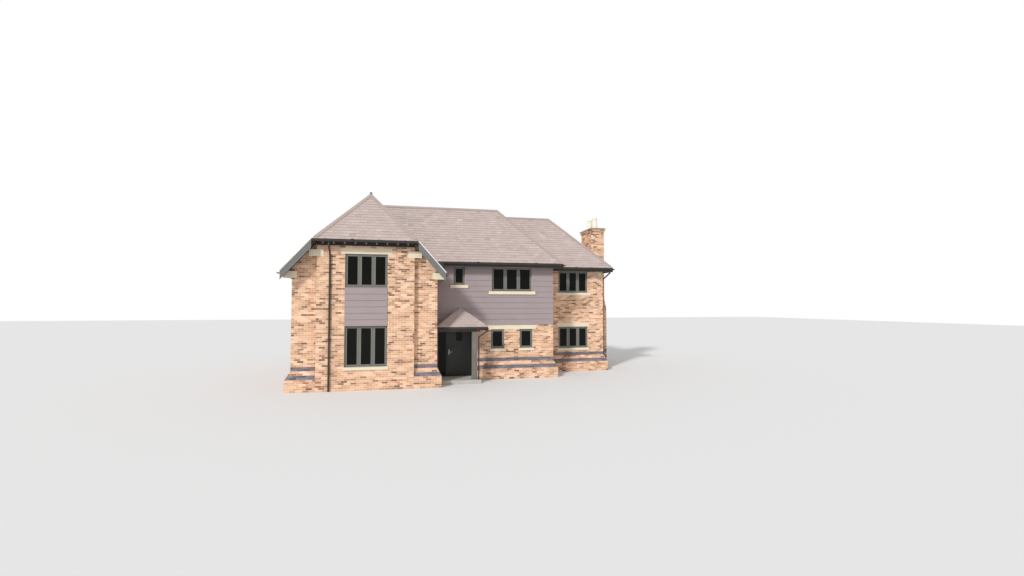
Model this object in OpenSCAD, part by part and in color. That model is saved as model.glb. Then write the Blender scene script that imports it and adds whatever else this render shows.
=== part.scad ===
// Detached two-storey brick house. A wing with a half-hipped roof and a shallow window bay
// stands forward on the left, a boarded middle part carries the entrance porch, and the right
// part is set back and has a chimney stack on its end wall.
// Millimetres. Ground level is z = 0, X runs along the front and the front faces -Y.

/* [Plan] */
// Width of the left wing over its walls
wing_w = 5300; // [5000:50:5500]
// Width of the boarded middle part
main_w = 5200; // [5000:50:5600]
// Width of the set-back right part
right_w = 3100; // [2900:50:3500]
// Depth from the front of the wing to the back of the house
total_d = 9400; // [9000:100:10200]
// How far the wing stands in front of the middle part
wing_out = 1600; // [1450:50:1750]
// How far the right part is set back behind the middle part
right_set = 1700; // [1500:50:1850]
// Thickness of the outside walls
wall_t = 300; // [270:10:340]
// Width of the shallow window bay
bay_w = 3540; // [3300:20:3700]
// How far the bay and the plinth stand out from the walls
bay_out = 170; // [140:10:190]
// Height of the upright face of the plinth
plinth_z = 450; // [400:10:500]
// Height at which the splay of the plinth meets the wall
splay_z = 750; // [700:10:800]

/* [Heights] */
// Top of the ground floor and of the entrance step
floor_z = 150; // [120:10:180]
// Top of the first floor
upper_z = 2750; // [2650:10:2850]
// Thickness of the first floor with its ceiling
deck_t = 250; // [220:10:280]
// Eaves of the main roof, at the outer edge of the tiles
main_eave_z = 5000; // [4900:10:5200]
// Eaves of the wing roof
wing_eave_z = 4410; // [4380:10:4440]
// Eaves of the half-hip over the bay
half_eave_z = 5600; // [5560:10:5650]
// Height of the flat crown of the main roof
crown_z = 7780; // [7650:10:7850]

/* [Roof] */
// Pitch of the main roof slopes
main_pitch = 47.5; // [45:0.5:50]
// Pitch of the two wing slopes
wing_pitch = 48.5; // [45:0.5:50]
// Pitch of the half-hips
hip_pitch = 49; // [47:0.5:51]
// Thickness of tiles, battens and rafters
roof_t = 130; // [110:5:145]
// Thickness of tiles and battens alone, where they run past the wall over the open eaves
tile_t = 55; // [45:5:65]
// Overhang of the main eaves
main_over = 380; // [340:10:420]
// Overhang of the wing eaves
wing_over = 300; // [280:10:360]
// Overhang of the verge in front of the bay
verge_over = 300; // [270:10:330]
// Width of each wing of the angled ridge tiles
ridge_w = 120; // [110:5:160]
// Thickness of the ridge tiles over the slopes
ridge_t = 30; // [25:5:50]
// Depth of the bargeboards
barge_d = 200; // [180:10:230]
// Thickness of the bargeboards
barge_t = 25; // [20:1:32]
// Depth of the exposed rafter feet
foot_h = 95; // [80:5:110]
// Thickness of the exposed rafter feet
foot_w = 50; // [40:5:60]
// Spacing of the exposed rafter feet
foot_pitch = 381; // [350:1:400]
// Number of exposed rafter feet
foot_count = 9; // [7:1:9]
// Thickness of the boarded soffit
soffit_t = 20; // [16:1:25]

/* [Windows] */
// Visible face of the fixed window frame
frame_w = 45; // [40:1:70]
// Width of the uprights between lights
mullion_w = 60; // [50:1:70]
// Visible face of the casement in each light
sash_w = 45; // [35:1:55]
// How far the casements stand in front of the frame
sash_out = 12; // [8:1:16]
// Depth of a window frame from front to back
frame_d = 80; // [70:5:100]
// How far the frames sit behind the wall face
reveal = 60; // [50:5:90]
// Thickness of the sealed glass units
glass_t = 28; // [24:2:32]
// Width of the three-light bay windows
bay_win_w = 1545; // [1500:5:1600]
// Height of the lower bay window
bay_low_h = 1534; // [1500:2:1580]
// Sill of the lower bay window above the ground
bay_sill_z = 866; // [840:2:900]
// Height of the upper bay window
bay_high_h = 1250; // [1200:10:1300]
// Width of the large windows in the middle part and at the back
main_win_w = 1810; // [1760:10:1860]
// Height of the large upper windows
main_win_h = 1050; // [1000:10:1100]
// Width of the windows in the right part
right_win_w = 1510; // [1460:10:1560]
// Height of the lower windows in the right part and at the back
low_win_h = 1030; // [980:10:1080]
// Width of the pair of small windows
small_win_w = 590; // [560:10:620]
// Height of the small windows
small_win_h = 830; // [800:10:880]
// Distance from the middle of the pair to each small window
small_dx = 640; // [620:5:680]
// Width of the single window over the porch and of the upper side windows
slit_win_w = 490; // [460:10:520]
// Height of the single window over the porch
slit_win_h = 790; // [740:10:840]
// Head of the lower windows
low_head_z = 2130; // [2080:10:2160]
// Gap between the heads of the upper windows and the soffit
head_gap = 20; // [10:5:40]
// Centre of the large window, in from the right corner of the middle part
mid_in = 1870; // [1800:10:1900]
// Centre of the window over the porch, in from the wing
slit_in = 1010; // [960:10:1060]
// Distance of the side windows from the middle of the left wall
side_dy = 1800; // [1600:50:2000]

/* [Stone and boarding] */
// Height of the stone lintels
lintel_h = 200; // [180:10:220]
// Bearing of a lintel beside the window
bearing = 55; // [50:5:80]
// Bearing of the lintel over the bay window and over the pair of small windows
wide_bearing = 140; // [110:5:160]
// Height of the lower sills
sill_h = 110; // [100:5:130]
// Height of the upper sills
high_sill_h = 140; // [120:5:150]
// How far the stones reach into the wall
stone_in = 110; // [100:5:120]
// How far the sills stand out
sill_out = 40; // [30:5:50]
// Fall on the outer edge of the sills
sill_fall = 12; // [8:1:16]
// Thickness of the boarding
clad_t = 35; // [30:1:45]

/* [Entrance] */
// Width of the entrance opening
door_open_w = 1500; // [1450:10:1540]
// Brick pier between the wing and the entrance opening
pier_w = 100; // [80:10:120]
// Width of the fixed sidelight
sidelight_w = 300; // [260:10:340]
// Height of the door head above the ground
door_head_z = 2250; // [2200:10:2300]
// Width of the entrance frame members
jamb_w = 60; // [50:5:70]
// Depth of the entrance frame
screen_d = 90; // [80:5:100]
// Thickness of the door leaf
leaf_t = 55; // [50:1:60]
// Clearance around the door leaf
leaf_gap = 5; // [5:1:8]
// Width of the glass in the door
pane_w = 270; // [240:10:300]
// Height of the glass in the door
pane_h = 380; // [340:10:420]
// Height of the door handle above the floor
handle_up = 1030; // [1000:10:1060]
// How far the porch roof stands out from the wall
porch_out = 1010; // [950:10:1080]
// Length of the porch roof along the wall
porch_w = 2115; // [2050:5:2200]
// Height of the porch roof from eaves to top
porch_rise = 790; // [740:10:840]
// Thickness of the porch roof
porch_t = 140; // [120:5:160]
// Depth of the porch fascia boards
fascia_d = 130; // [120:5:150]
// Thickness of the porch fascia boards
fascia_t = 45; // [35:1:55]
// Side of the square oak post
post_w = 220; // [180:10:240]

/* [Chimney] */
// Depth of the stack, out from the wall
stack_d = 720; // [660:20:780]
// Width of the stack along the wall
stack_w = 1440; // [1340:20:1500]
// Centre of the stack behind the front of the right part
stack_in = 2230; // [2100:10:2400]
// Width of the chimney breast below the shoulders
breast_w = 1940; // [1860:20:2040]
// Height at which the shoulders start
shoulder_z = 3000; // [2900:20:3200]
// Top of the stone cap
cap_z = 7290; // [7200:10:7400]
// Thickness of the stone cap
cap_t = 90; // [80:5:150]
// How far the cap stands out from the stack
cap_over = 70; // [60:5:90]
// Height of the chimney pots
pot_h = 580; // [520:10:640]
// Radius of the chimney pots at the foot
pot_r = 150; // [130:5:160]

/* [Rainwater] */
// Outer radius of the half-round gutters
gutter_r = 57; // [50:1:62]
// Wall of the gutters
gutter_t = 5; // [4:1:6]
// How far the gutter rims stand above the eaves
gutter_lift = 15; // [10:1:20]
// Radius of the downpipes
pipe_r = 34; // [30:1:38]
// Radius of the downpipe of the porch
porch_pipe_r = 28; // [25:1:34]
// Gap between a downpipe and the wall
pipe_gap = 16; // [12:1:20]

/* [Hidden] */
ground = 0;
far = 20000;
curve = 32;
// mortar bed under ridge tiles and other pieces that lie on a slope
bed = 0.2;
// how far the soffit boards lie under the main eaves, and the wall over the heads of the side windows
soffit_drop = 100;
bay_course = 95;
side_course = 400;
porch_lift = 30;
// rafter ends behind the edge of the tiles
foot_in = 12;
// kneelers: height, mortar bed, and for the two of each side how far they reach in, out and below the slope
kneel_h = 250;
kneel_bed = 10;
kneel_proud = 10;
high_kneel_in = 240;
high_kneel_out = 280;
high_kneel_tip = 225;
low_kneel_in = 185;
low_kneel_out = 270;
low_kneel_tip = 55;
low_kneel_back = 50;
// pad stone under the eaves of the right part
pad_in = 60;
pad_w = 200;
pad_h = 210;
pad_course = 50;
pad_proud = 15;
// places and swan necks of the downpipes
bay_pipe_in = 470;
end_pipe_in = 120;
porch_pipe_in = 60;
stub_h = 110;
neck_h = 450;
porch_stub_h = 70;
porch_neck_h = 300;

x0 = -(wing_w + main_w + right_w) / 2;
x1 = x0 + wing_w;
x2 = x1 + main_w;
x3 = x2 + right_w;
y0 = -total_d / 2;
y1 = y0 + wing_out;
y2 = y1 + right_set;
y3 = total_d / 2;
wing_x = (x0 + x1) / 2;
mid_x = x2 - mid_in;
slit_x = x1 + slit_in;
right_x = (x2 + x3) / 2;
back_x = x1 + main_w / 3;

// Roof lines: eaves, ridges, hips and valleys all follow from the pitches
main_rise = tan(main_pitch);
wing_rise = tan(wing_pitch);
hip_rise = tan(hip_pitch);
main_drop = roof_t / cos(main_pitch);
wing_drop = roof_t / cos(wing_pitch);
hip_drop = roof_t / cos(hip_pitch);
ymf = y1 - main_over;
ymr = y3 + main_over;
yrf = y2 - main_over;
xme = x2 + main_over;
xre = x3 + main_over;
xwl = x0 - wing_over;
xwr = x1 + wing_over;
yvf = y0 - bay_out - verge_over;
yvr = y3 + verge_over;
wing_ridge_z = wing_eave_z + (wing_x - xwl) * wing_rise;
wing_above = wing_ridge_z > crown_z;
run = (crown_z - main_eave_z) / main_rise;
half_in = (half_eave_z - wing_eave_z) / wing_rise;
half_run = (wing_ridge_z - half_eave_z) / hip_rise;
// where the wing ridge meets the main slopes, and where the crown meets the wing: its left slope,
// or its right one if the wing ridge stands above the crown
ridge_end_f = ymf + (wing_ridge_z - main_eave_z) / main_rise;
ridge_end_r = ymr - (wing_ridge_z - main_eave_z) / main_rise;
crown_x = wing_above ? xwr - (crown_z - wing_eave_z) / wing_rise : xwl + (crown_z - wing_eave_z) / wing_rise;
// where the wing slope and the main slopes meet, at the main eaves and at the rear verge
valley_x = xwr - (main_eave_z - wing_eave_z) / wing_rise;
valley_r_x = valley_x - (ymr - yvr) * main_rise / wing_rise;

main_wall_z = main_eave_z + main_over * main_rise - main_drop;
wing_wall_z = wing_under(x0);
gable_z = half_eave_z - hip_drop;
// the wing walls run on up to the full slabs behind the open eaves
wall_top_z = gable_z + verge_over * hip_rise - bed;
wall_top_half = (xwr - wing_x) - (wall_top_z + 2 * bed + wing_drop - wing_eave_z) / wing_rise;
soffit_z = main_eave_z - 2 * soffit_t - soffit_drop;
deck_z = upper_z - deck_t;
clad_z = low_head_z + lintel_h;

// Faces a window can sit in
BAY = 0;
MID = 1;
RIGHT = 2;
BACK = 3;
LEFT = 4;

// Heads of the upper windows
high_head_z = soffit_z - head_gap;
bay_head_z = gable_z - lintel_h - bay_course;
side_head_z = wing_wall_z - side_course;

// face, centre, sill height, width, height, number of lights
low_wins = [
    [BAY, wing_x, bay_sill_z, bay_win_w, bay_low_h, 3],
    [MID, mid_x - small_dx, low_head_z - small_win_h, small_win_w, small_win_h, 1],
    [MID, mid_x + small_dx, low_head_z - small_win_h, small_win_w, small_win_h, 1],
    [RIGHT, right_x, low_head_z - low_win_h, right_win_w, low_win_h, 3],
    [BACK, -wing_x, low_head_z - low_win_h, main_win_w, low_win_h, 3],
    [BACK, -back_x, low_head_z - low_win_h, main_win_w, low_win_h, 3],
    [BACK, -right_x, low_head_z - low_win_h, right_win_w, low_win_h, 3],
    [LEFT, -side_dy, low_head_z - small_win_h, small_win_w, small_win_h, 1],
    [LEFT, side_dy, low_head_z - small_win_h, small_win_w, small_win_h, 1]
];
high_wins = [
    [BAY, wing_x, bay_head_z - bay_high_h, bay_win_w, bay_high_h, 3],
    [MID, slit_x, high_head_z - slit_win_h, slit_win_w, slit_win_h, 1],
    [MID, mid_x, high_head_z - main_win_h, main_win_w, main_win_h, 3],
    [RIGHT, right_x, high_head_z - main_win_h, right_win_w, main_win_h, 3],
    [BACK, -wing_x, high_head_z - main_win_h, main_win_w, main_win_h, 3],
    [BACK, -back_x, high_head_z - main_win_h, main_win_w, main_win_h, 3],
    [BACK, -right_x, high_head_z - main_win_h, right_win_w, main_win_h, 3],
    [LEFT, -side_dy, side_head_z - slit_win_h, slit_win_w, slit_win_h, 1],
    [LEFT, side_dy, side_head_z - slit_win_h, slit_win_w, slit_win_h, 1]
];
all_wins = concat(low_wins, high_wins);

// Lintels: one over each lower window, one over the small pair and one over the upper bay window
lintels = concat(
    [[BAY, wing_x, bay_head_z, bay_win_w + 2 * wide_bearing],
     [MID, mid_x, low_head_z, 2 * small_dx + small_win_w + 2 * wide_bearing]],
    [for (w = low_wins) if (w[0] > MID) [w[0], w[1], low_head_z, w[3] + 2 * bearing]]);
// Sills: one under every window but the upper bay window, with long ears on the upper front
sills = concat(
    [for (w = low_wins) [w[0], w[1], w[2], w[3] + 2 * bearing, sill_h]],
    [for (w = high_wins) if (w[0] != BAY)
        [w[0], w[1], w[2], w[3] + 2 * (w[0] < BACK ? wide_bearing : bearing), high_sill_h]]);

// Entrance
door_x0 = x1 + pier_w;
door_x1 = door_x0 + door_open_w;
screen_y = y1 + 50;
sill_bar = 25;
mull_x = door_x0 + jamb_w + sidelight_w;
leaf_x0 = mull_x + jamb_w + leaf_gap;
leaf_x1 = door_x1 - jamb_w - leaf_gap;
leaf_z0 = floor_z + sill_bar + leaf_gap;
leaf_z1 = door_head_z - jamb_w - leaf_gap;
leaf_y1 = screen_y + screen_d;
leaf_y0 = leaf_y1 - leaf_t;
pane_x = (leaf_x0 + leaf_x1) / 2;
pane_z1 = leaf_z1 - 145;
knuckle_r = 8;
hinge_x = leaf_x1 + leaf_gap / 2;
hinge_y = leaf_y1 + knuckle_r + 6;
hinge_zs = [leaf_z0 + 200, (leaf_z0 + leaf_z1) / 2, leaf_z1 - 200];
porch_x1 = x1 + porch_w;
porch_x = (x1 + porch_x1) / 2;
porch_z = door_head_z + porch_lift;
porch_y = y1 - porch_out;
fascia_z = porch_z - fascia_d;
head_beam = 60;
post_x = door_x1 - 40;
post_y = porch_y + post_w / 2;

// Chimney
stack_y = y2 + stack_in;
shoulder_h = breast_w - stack_w;
corbel_h = 75;
pot_top_r = pot_r * 0.72;

// Box between two opposite corners
module block(a, b) {
    translate(a) cube(b - a);
}

// Upright prism over a plan outline
module plan(points, z0, z1) {
    translate([0, 0, z0]) linear_extrude(z1 - z0) polygon(points);
}

// Prism along Y from an outline in X and Z
module upright(points, ya, yb) {
    translate([0, yb, 0]) rotate([90, 0, 0]) linear_extrude(yb - ya) polygon(points);
}

// Prism along X from an outline in Y and Z
module sideways(points, xa, xb) {
    translate([xa, 0, 0]) rotate([90, 0, 90]) linear_extrude(xb - xa) polygon(points);
}

// Round bar between two points
module rod(a, b, r) {
    d = b - a;
    len = norm(d);
    translate(a) rotate([0, acos(d.z / len), atan2(d.y, d.x)]) cylinder(h = len, r = r, $fn = curve);
}

module mirror_about(x, side) {
    translate([x, 0, 0]) if (side > 0) children();
    else mirror([1, 0, 0]) children();
}

// Puts a shape drawn in front-wall coordinates on one of the five faces:
// x along the wall, y into the wall, z up
module on_face(f) {
    if (f == BAY) translate([0, y0 - bay_out, 0]) children();
    if (f == MID) translate([0, y1, 0]) children();
    if (f == RIGHT) translate([0, y2, 0]) children();
    if (f == BACK) translate([0, y3, 0]) rotate(180) children();
    if (f == LEFT) translate([x0, 0, 0]) rotate(-90) children();
}

// Underside of the wing slopes over a point of the wing
function wing_under(x) = wing_eave_z - wing_drop + (x < wing_x ? x - xwl : xwr - x) * wing_rise;

// Outer box of one window, in face coordinates
module window_box(w, ya, yb) {
    block([w[1] - w[3] / 2, ya, w[2]], [w[1] + w[3] / 2, yb, w[2] + w[4]]);
}

module lintel_stone(s) {
    block([s[1] - s[3] / 2, 0, s[2]], [s[1] + s[3] / 2, stone_in, s[2] + lintel_h]);
}

// Sill with a weathered outer edge
module sill_stone(s, out) {
    top = s[2];
    low = s[2] - s[4];
    sideways([[stone_in, low], [-out, low], [-out, top - sill_fall], [0, top], [stone_in, top]],
        s[1] - s[3] / 2, s[1] + s[3] / 2);
}

// Everything that is cut out of a wall: window holes and the beds of the stones
module wall_cuts(f) {
    depth = f == BAY ? wall_t + bay_out : wall_t;
    for (w = all_wins) if (w[0] == f) on_face(f) window_box(w, -100, depth + 100);
    for (s = lintels) if (s[0] == f) on_face(f) translate([0, -1, 0]) lintel_stone(s);
    for (s = lintels) if (s[0] == f) on_face(f) lintel_stone(s);
    for (s = sills) if (s[0] == f) on_face(f) sill_stone(s, 100);
}

function inner_plan() = [
    [x0 + wall_t, y0 + wall_t], [x1 - wall_t, y0 + wall_t], [x1 - wall_t, y1 + wall_t],
    [x2 - wall_t, y1 + wall_t], [x2 - wall_t, y2 + wall_t], [x3 - wall_t, y2 + wall_t],
    [x3 - wall_t, y3 - wall_t], [x0 + wall_t, y3 - wall_t]
];

module ground_floor() {
    color([0.62, 0.60, 0.57]) plan(inner_plan(), ground, floor_z);
}

module first_floor() {
    color([0.66, 0.56, 0.42]) plan(inner_plan(), deck_z, upper_z);
}

module entrance_step() {
    nosing = 140;
    color([0.60, 0.58, 0.55])
    union() {
        block([x1 + bay_out, porch_y - nosing, ground],
            [post_x + post_w / 2 + nosing, y1 - bay_out, floor_z]);
        block([x1 + bay_out, y1 - bay_out, ground], [door_x1, y1, floor_z]);
        block([door_x0, y1, ground], [door_x1, y1 + wall_t, floor_z]);
    }
}

// Front of the wing: upright sides, sloping shoulders under the roof and a level top
function gable_points() = [
    [x0, ground], [x1, ground], [x1, wing_under(x1)],
    [wing_x + wall_top_half, wall_top_z], [wing_x - wall_top_half, wall_top_z], [x0, wing_under(x0)]
];

module wing_front_wall() {
    color([0.78, 0.56, 0.40])
    difference() {
        union() {
            upright(gable_points(), y0, y0 + wall_t);
            intersection() {
                upright(gable_points(), y0 - bay_out, y0);
                block([wing_x - bay_w / 2, y0 - bay_out, ground], [wing_x + bay_w / 2, y0, gable_z]);
            }
        }
        wall_cuts(BAY);
        kneelers();
    }
}

module wing_side_wall() {
    color([0.78, 0.56, 0.40])
    block([x1 - wall_t, y0 + wall_t, ground], [x1, y1 + wall_t, wing_wall_z]);
}

module left_wall() {
    color([0.78, 0.56, 0.40])
    difference() {
        block([x0, y0 + wall_t, ground], [x0 + wall_t, y3 - wall_t, wing_wall_z]);
        wall_cuts(LEFT);
    }
}

module entrance_wall() {
    color([0.78, 0.56, 0.40])
    difference() {
        union() {
            block([x1, y1, door_head_z], [door_x1, y1 + wall_t, main_wall_z]);
            block([x1, y1, ground], [door_x0, y1 + wall_t, door_head_z]);
        }
        wall_cuts(MID);
    }
}

module middle_front_wall() {
    color([0.78, 0.56, 0.40])
    difference() {
        block([door_x1, y1, ground], [x2, y1 + wall_t, main_wall_z]);
        wall_cuts(MID);
    }
}

module setback_wall() {
    color([0.78, 0.56, 0.40])
    block([x2 - wall_t, y1 + wall_t, ground], [x2, y2 + wall_t, main_wall_z]);
}

module right_front_wall() {
    color([0.78, 0.56, 0.40])
    difference() {
        block([x2, y2, ground], [x3, y2 + wall_t, main_wall_z]);
        wall_cuts(RIGHT);
        pad_stone();
    }
}

module right_wall() {
    color([0.78, 0.56, 0.40])
    block([x3 - wall_t, y2 + wall_t, ground], [x3, y3 - wall_t, main_wall_z]);
}

module rear_wall() {
    // beside the valley the wall keeps under the lower of the two slopes
    ease = max(0, main_drop - wing_drop) + bed;
    join_x = xwr - (main_wall_z + ease + wing_drop - wing_eave_z) / wing_rise;
    top_x = wing_x + wall_top_half - ease / wing_rise;
    color([0.78, 0.56, 0.40])
    difference() {
        upright([[x0, ground], [x3, ground], [x3, main_wall_z], [join_x, main_wall_z],
            [top_x, wall_top_z], [wing_x - wall_top_half, wall_top_z], [x0, wing_under(x0)]], y3 - wall_t, y3);
        wall_cuts(BACK);
    }
}

// One straight length of plinth, along +x with its face towards -y
module plinth_run(p, turn, len) {
    translate(p) rotate(turn)
        sideways([[0, ground], [-bay_out, ground], [-bay_out, plinth_z], [0, splay_z]], 0, len);
}

// Mitred outer corner at the end of a run
module plinth_corner(p, turn) {
    translate(p) rotate(turn) intersection() {
        plinth_run([0, 0, 0], 0, bay_out);
        plinth_run([0, -bay_out, 0], 90, bay_out);
    }
}

module brick_plinth() {
    bay_half = bay_w / 2;
    breast_a = stack_y - breast_w / 2;
    breast_b = stack_y + breast_w / 2;
    color([0.72, 0.50, 0.36])
    union() {
        plinth_run([x0, y0, 0], 0, wing_x - bay_half - x0);
        plinth_run([wing_x + bay_half, y0, 0], 0, x1 - wing_x - bay_half);
        plinth_corner([x1, y0, 0], 0);
        plinth_run([x1, y0, 0], 90, wing_out);
        plinth_run([door_x1, y1, 0], 0, x2 - door_x1);
        plinth_corner([x2, y1, 0], 0);
        plinth_run([x2, y1, 0], 90, right_set);
        plinth_run([x2, y2, 0], 0, right_w);
        plinth_corner([x3, y2, 0], 0);
        plinth_run([x3, y2, 0], 90, breast_a - y2);
        plinth_run([x3, breast_b, 0], 90, y3 - breast_b);
        plinth_corner([x3, y3, 0], 90);
        plinth_run([x3, y3, 0], 180, x3 - x0);
        plinth_corner([x0, y3, 0], 180);
        plinth_run([x0, y3, 0], 270, total_d);
        plinth_corner([x0, y0, 0], 270);
    }
}

module front_cladding() {
    color([0.50, 0.44, 0.47])
    difference() {
        block([x1, y1 - clad_t, clad_z], [x2, y1, soffit_z]);
        wall_cuts(MID);
        wing_slope();
        porch_form(0);
        block([door_x0, y1 - far / 2, ground], [door_x1, y1 + 1, door_head_z]);
    }
}

module bay_panel() {
    z0 = bay_sill_z + bay_low_h;
    z1 = bay_head_z - bay_high_h;
    color([0.50, 0.44, 0.47])
    on_face(BAY) block([wing_x - bay_win_w / 2, -clad_t, z0], [wing_x + bay_win_w / 2, 0, z1]);
}

module stone_lintels() {
    color([0.86, 0.78, 0.62])
    for (s = lintels) on_face(s[0]) lintel_stone(s);
}

module stone_sills() {
    color([0.86, 0.78, 0.62])
    difference() {
        for (s = sills) on_face(s[0]) sill_stone(s, s[0] == MID && s[2] > clad_z ? sill_out + clad_t : sill_out);
        for (w = all_wins) on_face(w[0]) window_box(w, reveal, reveal + frame_d);
    }
}

// Corbelled stones that carry the feet of the verges. Each lies just under the slope.
module kneeler(corner, inside, out, tip, ya) {
    end = corner + out;
    under = wing_under(wing_x + end) - kneel_bed;
    low = under - tip;
    top = low + kneel_h;
    upright([[corner - inside, low], [end, low], [end, under],
        [end - (top - under) / wing_rise, top], [corner - inside, top]], ya, y0 + stone_in);
}

module kneelers() {
    for (side = [-1, 1]) mirror_about(wing_x, side) {
        kneeler(bay_w / 2, high_kneel_in, high_kneel_out, high_kneel_tip, y0 - bay_out - kneel_proud);
        kneeler(wing_w / 2, low_kneel_in, low_kneel_out, low_kneel_tip, y0 - bay_out + low_kneel_back);
    }
}

module pad_stone() {
    block([x3 - pad_in - pad_w, y2 - pad_proud, soffit_z - pad_course - pad_h],
        [x3 - pad_in, y2 + stone_in, soffit_z - pad_course]);
}

module kneeler_stones() {
    color([0.86, 0.78, 0.62])
    union() {
        kneelers();
        pad_stone();
    }
}

// Clear opening of one light of the frame, grown inwards by inset
module light(w, i, inset, ya, yb) {
    lw = (w[3] - 2 * frame_w - (w[5] - 1) * mullion_w) / w[5];
    xa = w[1] - w[3] / 2 + frame_w + i * (lw + mullion_w);
    block([xa + inset, ya, w[2] + frame_w + inset], [xa + lw - inset, yb, w[2] + w[4] - frame_w - inset]);
}

// Fixed frame with a casement in each light, standing a little in front of it
module frames(list) {
    color([0.36, 0.38, 0.35])
    for (w = list) on_face(w[0]) difference() {
        union() {
            window_box(w, reveal, reveal + frame_d);
            for (i = [0:w[5] - 1]) light(w, i, 0, reveal - sash_out, reveal + 1);
        }
        for (i = [0:w[5] - 1]) light(w, i, sash_w, reveal - 50, reveal + frame_d + 50);
    }
}

module panes(list) {
    glass_y = reveal + (frame_d - glass_t) / 2;
    color([0.16, 0.20, 0.22, 0.5])
    for (w = list) on_face(w[0]) for (i = [0:w[5] - 1]) light(w, i, sash_w, glass_y, glass_y + glass_t);
}

module lower_window_frames() {
    frames(low_wins);
}

module upper_window_frames() {
    frames(high_wins);
}

module lower_window_glass() {
    panes(low_wins);
}

module upper_window_glass() {
    panes(high_wins);
}

// Frame of the sidelight and the door, with the fixed halves of the hinges
module entrance_frame() {
    color([0.24, 0.27, 0.25])
    union() {
        difference() {
            block([door_x0, screen_y, floor_z], [door_x1, leaf_y1, door_head_z]);
            block([door_x0 + jamb_w, screen_y - 10, floor_z + jamb_w],
                [mull_x, leaf_y1 + 10, door_head_z - jamb_w]);
            block([mull_x + jamb_w, screen_y - 10, floor_z + sill_bar],
                [door_x1 - jamb_w, leaf_y1 + 10, door_head_z - jamb_w]);
        }
        for (z = hinge_zs) hinge_half([[z - 19, z + 19]], 1);
    }
}

// Flap and knuckles of one hinge, on the side of the jamb or of the leaf
module hinge_half(spans, side) {
    flap = 34;
    back = side > 0 ? door_x1 - jamb_w + 6 : leaf_x1 - 6;
    for (s = spans) {
        translate([hinge_x, hinge_y, s[0]]) cylinder(h = s[1] - s[0], r = knuckle_r, $fn = curve);
        block([min(hinge_x, back), hinge_y - 3, s[0]], [max(hinge_x, back), hinge_y + 3, s[1]]);
        block([side > 0 ? back : back - flap, leaf_y1, s[0]],
            [side > 0 ? back + flap : back, hinge_y + 3, s[1]]);
    }
}

module sidelight_glass() {
    glass_y = screen_y + (screen_d - glass_t) / 2;
    color([0.16, 0.20, 0.22, 0.5])
    block([door_x0 + jamb_w, glass_y, floor_z + jamb_w], [mull_x, glass_y + glass_t, door_head_z - jamb_w]);
}

// Leaf with a beaded glass opening and the hinge halves that swing with it
module front_door() {
    bead = 30;
    proud = 6;
    color([0.22, 0.25, 0.23])
    difference() {
        union() {
            block([leaf_x0, leaf_y0, leaf_z0], [leaf_x1, leaf_y1, leaf_z1]);
            block([pane_x - pane_w / 2 - bead, leaf_y0 - proud, pane_z1 - pane_h - bead],
                [pane_x + pane_w / 2 + bead, leaf_y1 + proud, pane_z1 + bead]);
            for (z = hinge_zs) hinge_half([[z - 55, z - 20], [z + 20, z + 55]], -1);
        }
        block([pane_x - pane_w / 2, leaf_y0 - far / 2, pane_z1 - pane_h],
            [pane_x + pane_w / 2, leaf_y1 + far / 2, pane_z1]);
    }
}

module door_pane() {
    glass_y = leaf_y1 - (leaf_t + glass_t) / 2;
    color([0.16, 0.20, 0.22, 0.5])
    block([pane_x - pane_w / 2, glass_y, pane_z1 - pane_h], [pane_x + pane_w / 2, glass_y + glass_t, pane_z1]);
}

// Lever handles on both faces
module door_handle() {
    plate_t = 8;
    handle_x = leaf_x0 + 70;
    handle_z = floor_z + handle_up;
    color([0.62, 0.62, 0.60])
    union() {
        for (out = [-1, 1]) translate([handle_x, out < 0 ? leaf_y0 : leaf_y1, handle_z]) {
            block([-20, min(0, out * plate_t), -110], [20, max(0, out * plate_t), 110]);
            rotate([-out * 90, 0, 0]) cylinder(h = 50, r = 10, $fn = curve);
            block([-10, min(out * 40, out * 58), -10], [130, max(out * 40, out * 58), 10]);
        }
    }
}

// Half pyramid against the wall, lowered by drop
module porch_form(drop) {
    low = porch_z - drop - 1;
    eave = porch_z - drop;
    top = eave + porch_rise;
    intersection() {
        upright([[x1, low], [x1, eave], [porch_x, top], [porch_x1, eave], [porch_x1, low]], porch_y, y1);
        sideways([[porch_y, low], [porch_y, eave], [y1, top], [y1, low]], x1, porch_x1);
    }
}

module porch_roof() {
    color([0.58, 0.50, 0.46])
    difference() {
        porch_form(0);
        porch_form(porch_t);
        block([x1 - 10, porch_y - 10, ground], [porch_x1 + 10, y1 + 10, porch_z - 1]);
    }
}

module porch_beams() {
    z1 = porch_z - 1;
    ceiling_t = 20;
    color([0.50, 0.48, 0.44])
    union() {
        block([x1, porch_y, fascia_z], [porch_x1, porch_y + fascia_t, z1]);
        block([porch_x1 - fascia_t, porch_y + fascia_t, fascia_z], [porch_x1, y1 - clad_t, z1]);
        block([x1, porch_y + fascia_t, z1 - 2 * ceiling_t], [porch_x1 - fascia_t, y1 - clad_t, z1 - ceiling_t]);
        block([x1, porch_y + fascia_t, fascia_z - head_beam],
            [post_x + post_w / 2, post_y + post_w / 2, z1 - 2 * ceiling_t]);
    }
}

module porch_post() {
    color([0.56, 0.54, 0.49])
    block([post_x - post_w / 2, post_y - post_w / 2, floor_z],
        [post_x + post_w / 2, post_y + post_w / 2, fascia_z - head_beam]);
}

// Tiled slabs. Each rises from its eave line; dir is the way it rises.
module slab_x(xe, ze, dir, pitch) {
    translate([xe, 0, ze]) rotate([0, -dir * pitch, 0])
        translate([dir > 0 ? -500 : 500 - far, -far / 2, -roof_t]) cube([far, far, roof_t]);
}

module slab_y(ye, ze, dir, pitch) {
    translate([0, ye, ze]) rotate([dir * pitch, 0, 0])
        translate([-far / 2, dir > 0 ? -500 : 500 - far, -roof_t]) cube([far, far, roof_t]);
}

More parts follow.
